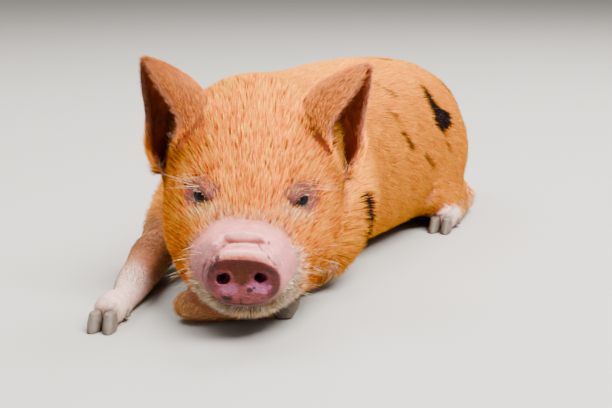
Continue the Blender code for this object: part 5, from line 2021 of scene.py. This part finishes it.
@dataclass
class Whiskers:
    """Long pale hairs: lashes, brows, and the feelers of muzzle and cheeks."""

    body: BodyMap
    skin: Skin
    coat: Coat
    pale: Colour = (250, 222, 180)
    ear_pale: Colour = (190, 122, 78)
    lash_front: float = 7.6
    lash_gap: float = 0.5
    seed: int = 41

    def build(self) -> bpy.types.Object:
        """All of them as one piece of the coat.

        Returns:
            The piece.
        """
        chance = np.random.default_rng(self.seed)
        rows = []
        for _, way in SIDES:
            for kind in (self.lashes, self.brows, self.feelers, self.fringe):
                rows += kind(way, chance)
        keys = ("start", "way", "bend", "length", "width")
        starts, ways, bends, lengths, widths = (np.array([getattr(row, key) for row in rows]) for key in keys)
        ways, lengths = unit(ways), lengths[:, None]
        points = self.skin.sites.points
        tree = KDTree(len(points))
        for index, point in enumerate(points):
            tree.insert(point, index)
        tree.balance()
        nearest = np.array([tree.find(start)[1] for start in starts])
        normal = self.skin.sites.normals[nearest]
        root = points[nearest] - normal * 0.4
        middle = root + ways * lengths * 0.5 + normal * lengths * 0.06
        tip = middle + unit(ways + bends) * lengths * 0.5
        for line in (middle, tip):
            line[:, 2] = np.maximum(line[:, 2], LOWEST_HAIR)
        high_ear = self.skin.sites.is_ear[nearest] * eased(self.skin.sites.ear_up[nearest], 0.0, 0.3)
        colour = mixed(linear(self.pale), linear(self.ear_pale), high_ear)
        tufts = {
            "root": root, "middle": middle, "tip": tip, "normal": normal, "width": widths,
            "colour": colour * chance.uniform(0.6, 1.1, (len(rows), 1)),
            # Painted shade at the roots of the long hairs.
            "shade": np.full(len(rows), 0.8),
        }
        return self.coat.make_piece("coat_whiskers", tufts, bpy.data.materials["piglet_coat"], True)

    def lashes(self, way: int, chance: np.random.Generator) -> list[Hair]:
        """Lashes along the upper lid, longest in its middle, and a few below.

        Args:
            way: 1 for left and -1 for right.
            chance: the source of random values.

        Returns:
            The hairs.
        """
        socket = EyeSocket(self.body, way)
        front = socket.centre + socket.gaze * self.lash_front
        rows = []
        for t in np.linspace(-0.95, 0.95, 15):
            high = socket.upper * socket.height(t) + self.lash_gap
            start = front + socket.along * t * socket.half_length + socket.rise * high
            ahead = socket.gaze * 0.8 + socket.rise * chance.normal(0.1, 0.15)
            ahead = ahead + socket.along * (0.7 * t + chance.normal(0, 0.15))
            length = (4.2 - 2 * abs(t)) * chance.uniform(0.6, 1.1)
            rows.append(Hair(start, ahead, -socket.rise * 0.5, length, 0.07))
        for t in np.linspace(-0.8, 0.8, 12):
            low = socket.lower * socket.height(t) + self.lash_gap
            start = front + socket.along * t * socket.half_length - socket.rise * low
            ahead = socket.gaze * 0.7 - socket.rise * 0.6 + socket.along * 0.5 * t
            rows.append(Hair(start, ahead, socket.rise * 0.1, chance.uniform(1.6, 2.8), 0.09))
        return rows

    def on_head(
        self, place: tuple[float, ...], ahead: tuple[float, ...], bend: Place, length: float, width: float
    ) -> Hair:
        """A hair whose place and directions are in the head's own coordinates.

        Args:
            place: where it starts.
            ahead: its direction.
            bend: what bends it.
            length: its length.
            width: its width.

        Returns:
            The hair.
        """
        start = self.body.from_head(np.array([place]))[0]
        ways = self.body.body_ways(np.array([ahead, bend], float))
        return Hair(start, ways[0], ways[1], length, width)

    def brows(self, way: int, chance: np.random.Generator) -> list[Hair]:
        """Long brow hairs that sweep outward over each eye.

        Args:
            way: 1 for left and -1 for right.
            chance: the source of random values.

        Returns:
            The hairs.
        """
        rows = []
        for _ in range(18):
            place = (way * chance.uniform(20, 36), chance.uniform(48, 62), chance.uniform(67, 75))
            ahead = (way * chance.uniform(0.6, 1.1), chance.normal(-0.2, 0.25), chance.normal(0.1, 0.2))
            rows.append(self.on_head(place, ahead, (way * 0.2, 0.35, -0.1), chance.uniform(9, 21), 0.08))
        return rows

    def feelers(self, way: int, chance: np.random.Generator) -> list[Hair]:
        """Stiff feelers on the muzzle, the chin and the cheeks.

        Args:
            way: 1 for left and -1 for right.
            chance: the source of random values.

        Returns:
            The hairs.
        """
        rows = []
        for _ in range(26):
            place = (way * chance.uniform(16, 36), chance.uniform(14, 60), chance.uniform(16, 40))
            ahead = (way * 0.9, chance.normal(-0.25, 0.25), chance.normal(-0.15, 0.25))
            rows.append(self.on_head(place, ahead, (0, 0.1, -0.2), chance.uniform(7, 13), 0.12))
        return rows

    def fringe(self, way: int, chance: np.random.Generator) -> list[Hair]:
        """Fine pale hairs that stand out over the edge of one ear's opening.

        Args:
            way: 1 for left and -1 for right.
            chance: the source of random values.

        Returns:
            The hairs.
        """
        sites = self.skin.sites
        on_edge = (sites.is_ear > 0) & (np.abs(sites.ear_edge) < 1.2) & (sites.head[:, 0] * way > 0)
        rows = []
        for index in chance.choice(np.flatnonzero(on_edge & (sites.ear_up > -0.4)), 260):
            ahead = 0.9 * sites.normals[index] + 0.6 * sites.ear_edge_way[index] + 0.5 * sites.ear_axis[index]
            ahead = ahead + chance.normal(0, 0.2, 3)
            long = 1 + 0.9 * (sites.ear_up[index] < 0.1)
            length = long * chance.uniform(2.2, 4.6)
            rows.append(Hair(sites.points[index], ahead, np.array((0, 0, -0.15)), length, 0.065))
        return rows


@dataclass
class Eyes:
    """The eyeballs, wet and dark, each with its bulging cornea."""

    body: BodyMap
    radius: float = 7.0
    cornea: float = 0.35
    cornea_angles: tuple[float, float] = (0.72, 0.2)

    def build(self) -> list[bpy.types.Object]:
        """Both eyes."""
        material = EyeFinish().material()
        return [self.one(side, way, material) for side, way in SIDES]

    def one(self, side: str, way: int, material: bpy.types.Material) -> bpy.types.Object:
        """One eyeball, its pole along the gaze.

        Args:
            side: left or right.
            way: 1 for left and -1 for right.
            material: its material.

        Returns:
            The eyeball.
        """
        socket = EyeSocket(self.body, way)
        centre = Vector(self.body.to_frame(socket.centre[None])[0])
        bpy.ops.object.select_all(action="DESELECT")
        turn = Vector(socket.gaze).to_track_quat("Z", "Y").to_euler()
        bpy.ops.mesh.primitive_uv_sphere_add(
            segments=64, ring_count=40, radius=self.radius * MM, location=centre, rotation=turn
        )
        piece = bpy.context.view_layer.objects.active
        piece.name = piece.data.name = f"eyeball_{side}"
        bpy.ops.object.transform_apply(location=True, rotation=True, scale=True)
        points = self.body.read(piece.data)
        ways = unit(points - socket.centre)
        angle = np.arccos(np.clip(ways @ socket.gaze, -1, 1))
        points = points + ways * (self.cornea * eased(angle, *self.cornea_angles))[:, None]
        self.body.write(piece.data, points)
        give_values(piece.data, "gaze", angle)
        piece.data.materials.append(material)
        piece.data.shade_smooth()
        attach(piece, "root")
        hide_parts(f"eye_{side}")
        return piece


@dataclass
class Hooves:
    """The horn of every toe, smoothed from its solid and ringed."""

    body: BodyMap
    voxel: float = 0.5
    weld: float = 0.002
    swell: float = 0.12
    ring_height: float = 0.07
    ring_pace: float = 5.2
    scuff_height: float = 0.12
    scuff_size: float = 1.6

    def build(self) -> list[bpy.types.Object]:
        """A finished hoof for each solid one."""
        material = HornFinish().material()
        return [self.one(name, material) for name in sorted(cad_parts) if "claw" in name]

    def one(self, name: str, material: bpy.types.Material) -> bpy.types.Object:
        """One hoof over its solid.

        Args:
            name: the solid's name.
            material: its material.

        Returns:
            The hoof.
        """
        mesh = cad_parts[name].data.copy()
        piece = link(name.replace("dewclaw", "dew_hoof").replace("claw", "hoof"), mesh)
        apply_modifier(piece, "WELD", merge_threshold=self.weld * MM)
        apply_modifier(piece, "REMESH", mode="VOXEL", voxel_size=self.voxel * MM)
        points = self.body.read(piece.data)
        edges = mesh_edges(piece.data)
        points = relax(points, edges, 5)
        normals = vertex_normals(piece.data)
        rise = self.ring_height * np.sin(points[:, 2] * self.ring_pace)
        rise += self.scuff_height * lumps(points, self.scuff_size, 51)
        points = points + normals * (self.swell + rise[:, None])
        points[:, 2] = np.maximum(points[:, 2], 0.0)
        self.body.write(piece.data, points)
        piece.data.materials.clear()
        piece.data.materials.append(material)
        piece.data.shade_smooth()
        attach(piece, "root")
        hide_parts(name)
        return piece


@dataclass(frozen=True)
class Lamp:
    """A square soft light: where it stands and its side in metres, its watts and its colour as light."""

    name: str
    place: Place
    size: float
    power: float
    colour: tuple[float, float, float]

    def light(self) -> None:
        """The lamp in the scene, turned to the model."""
        data = bpy.data.lights.new(self.name, "AREA")
        data.size, data.energy, data.color = self.size, self.power, self.colour
        piece = link(self.name, data)
        piece.location = self.place
        toward = Vector((0, 0, 0.05)) - Vector(self.place)
        piece.rotation_euler = toward.to_track_quat("-Z", "Y").to_euler()


@dataclass
class Studio:
    """A plain pale floor, soft lights and the camera at the photograph's angle."""

    body: BodyMap
    camera_place: Place = (306.9, -629.2, 200.0)
    camera_yaw: float = 26.0
    camera_drop: float = 12.0
    lens: float = 80.0
    sensor: float = 36.0
    nearest: float = 0.02
    floor_reach: float = 40.0
    world_colour: tuple[float, float, float, float] = (1.0, 0.99, 0.97, 1.0)
    world_strength: float = 0.44
    lamps: tuple[Lamp, ...] = (
        Lamp("key", (0.75, -0.30, 1.25), 0.8, 106.0, (1.0, 0.97, 0.92)),
        Lamp("fill", (-0.65, 0.05, 1.3), 0.9, 34.0, (1.0, 0.99, 0.97)),
        Lamp("rim", (0.1, 1.0, 1.3), 0.8, 62.0, (1.0, 0.97, 0.93)),
    )

    def build(self) -> None:
        """The floor, the lights and the camera."""
        bpy.ops.object.select_all(action="DESELECT")
        bpy.ops.mesh.primitive_plane_add(size=self.floor_reach, location=(0, 0, 0))
        floor = bpy.context.view_layer.objects.active
        floor.name = "floor"
        floor.data.materials.append(FloorFinish().material())
        self.world()
        for lamp in self.lamps:
            lamp.light()
        self.camera()

    def world(self) -> None:
        """A soft even light from all round."""
        world = bpy.data.worlds.new("studio")
        bpy.context.scene.world = world
        world.use_nodes = True
        background = world.node_tree.nodes["Background"]
        background.inputs["Color"].default_value = self.world_colour
        background.inputs["Strength"].default_value = self.world_strength

    def camera(self) -> None:
        """The camera where the photograph was taken from."""
        data = bpy.data.cameras.new("camera")
        data.lens, data.sensor_width = self.lens, self.sensor
        data.clip_start = self.nearest
        piece = link("camera", data)
        yaw, drop = math.radians(self.camera_yaw), math.radians(self.camera_drop)
        look = Vector((-math.sin(yaw) * math.cos(drop), math.cos(yaw) * math.cos(drop), -math.sin(drop)))
        piece.location = Vector(self.body.to_frame(np.array([self.camera_place]))[0])
        piece.rotation_euler = look.to_track_quat("-Z", "Y").to_euler()
        bpy.context.scene.camera = piece


def main() -> None:
    """Builds every piece in order."""
    logging.basicConfig(level=logging.INFO, format="%(message)s")
    started = time.perf_counter()
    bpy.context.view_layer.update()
    body = BodyMap()
    LOG.info("frame shift %s", np.round(body.shift, 3))
    skin = Skin(body)
    skin.build()
    LOG.info("skin after %.1f s", time.perf_counter() - started)
    coat = Coat(body, skin)
    coat.build()
    Whiskers(body, skin, coat).build()
    LOG.info("coat after %.1f s", time.perf_counter() - started)
    Eyes(body).build()
    Hooves(body).build()
    Studio(body).build()
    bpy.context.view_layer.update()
    LOG.info("all after %.1f s", time.perf_counter() - started)


if __name__ == "__main__":
    main()
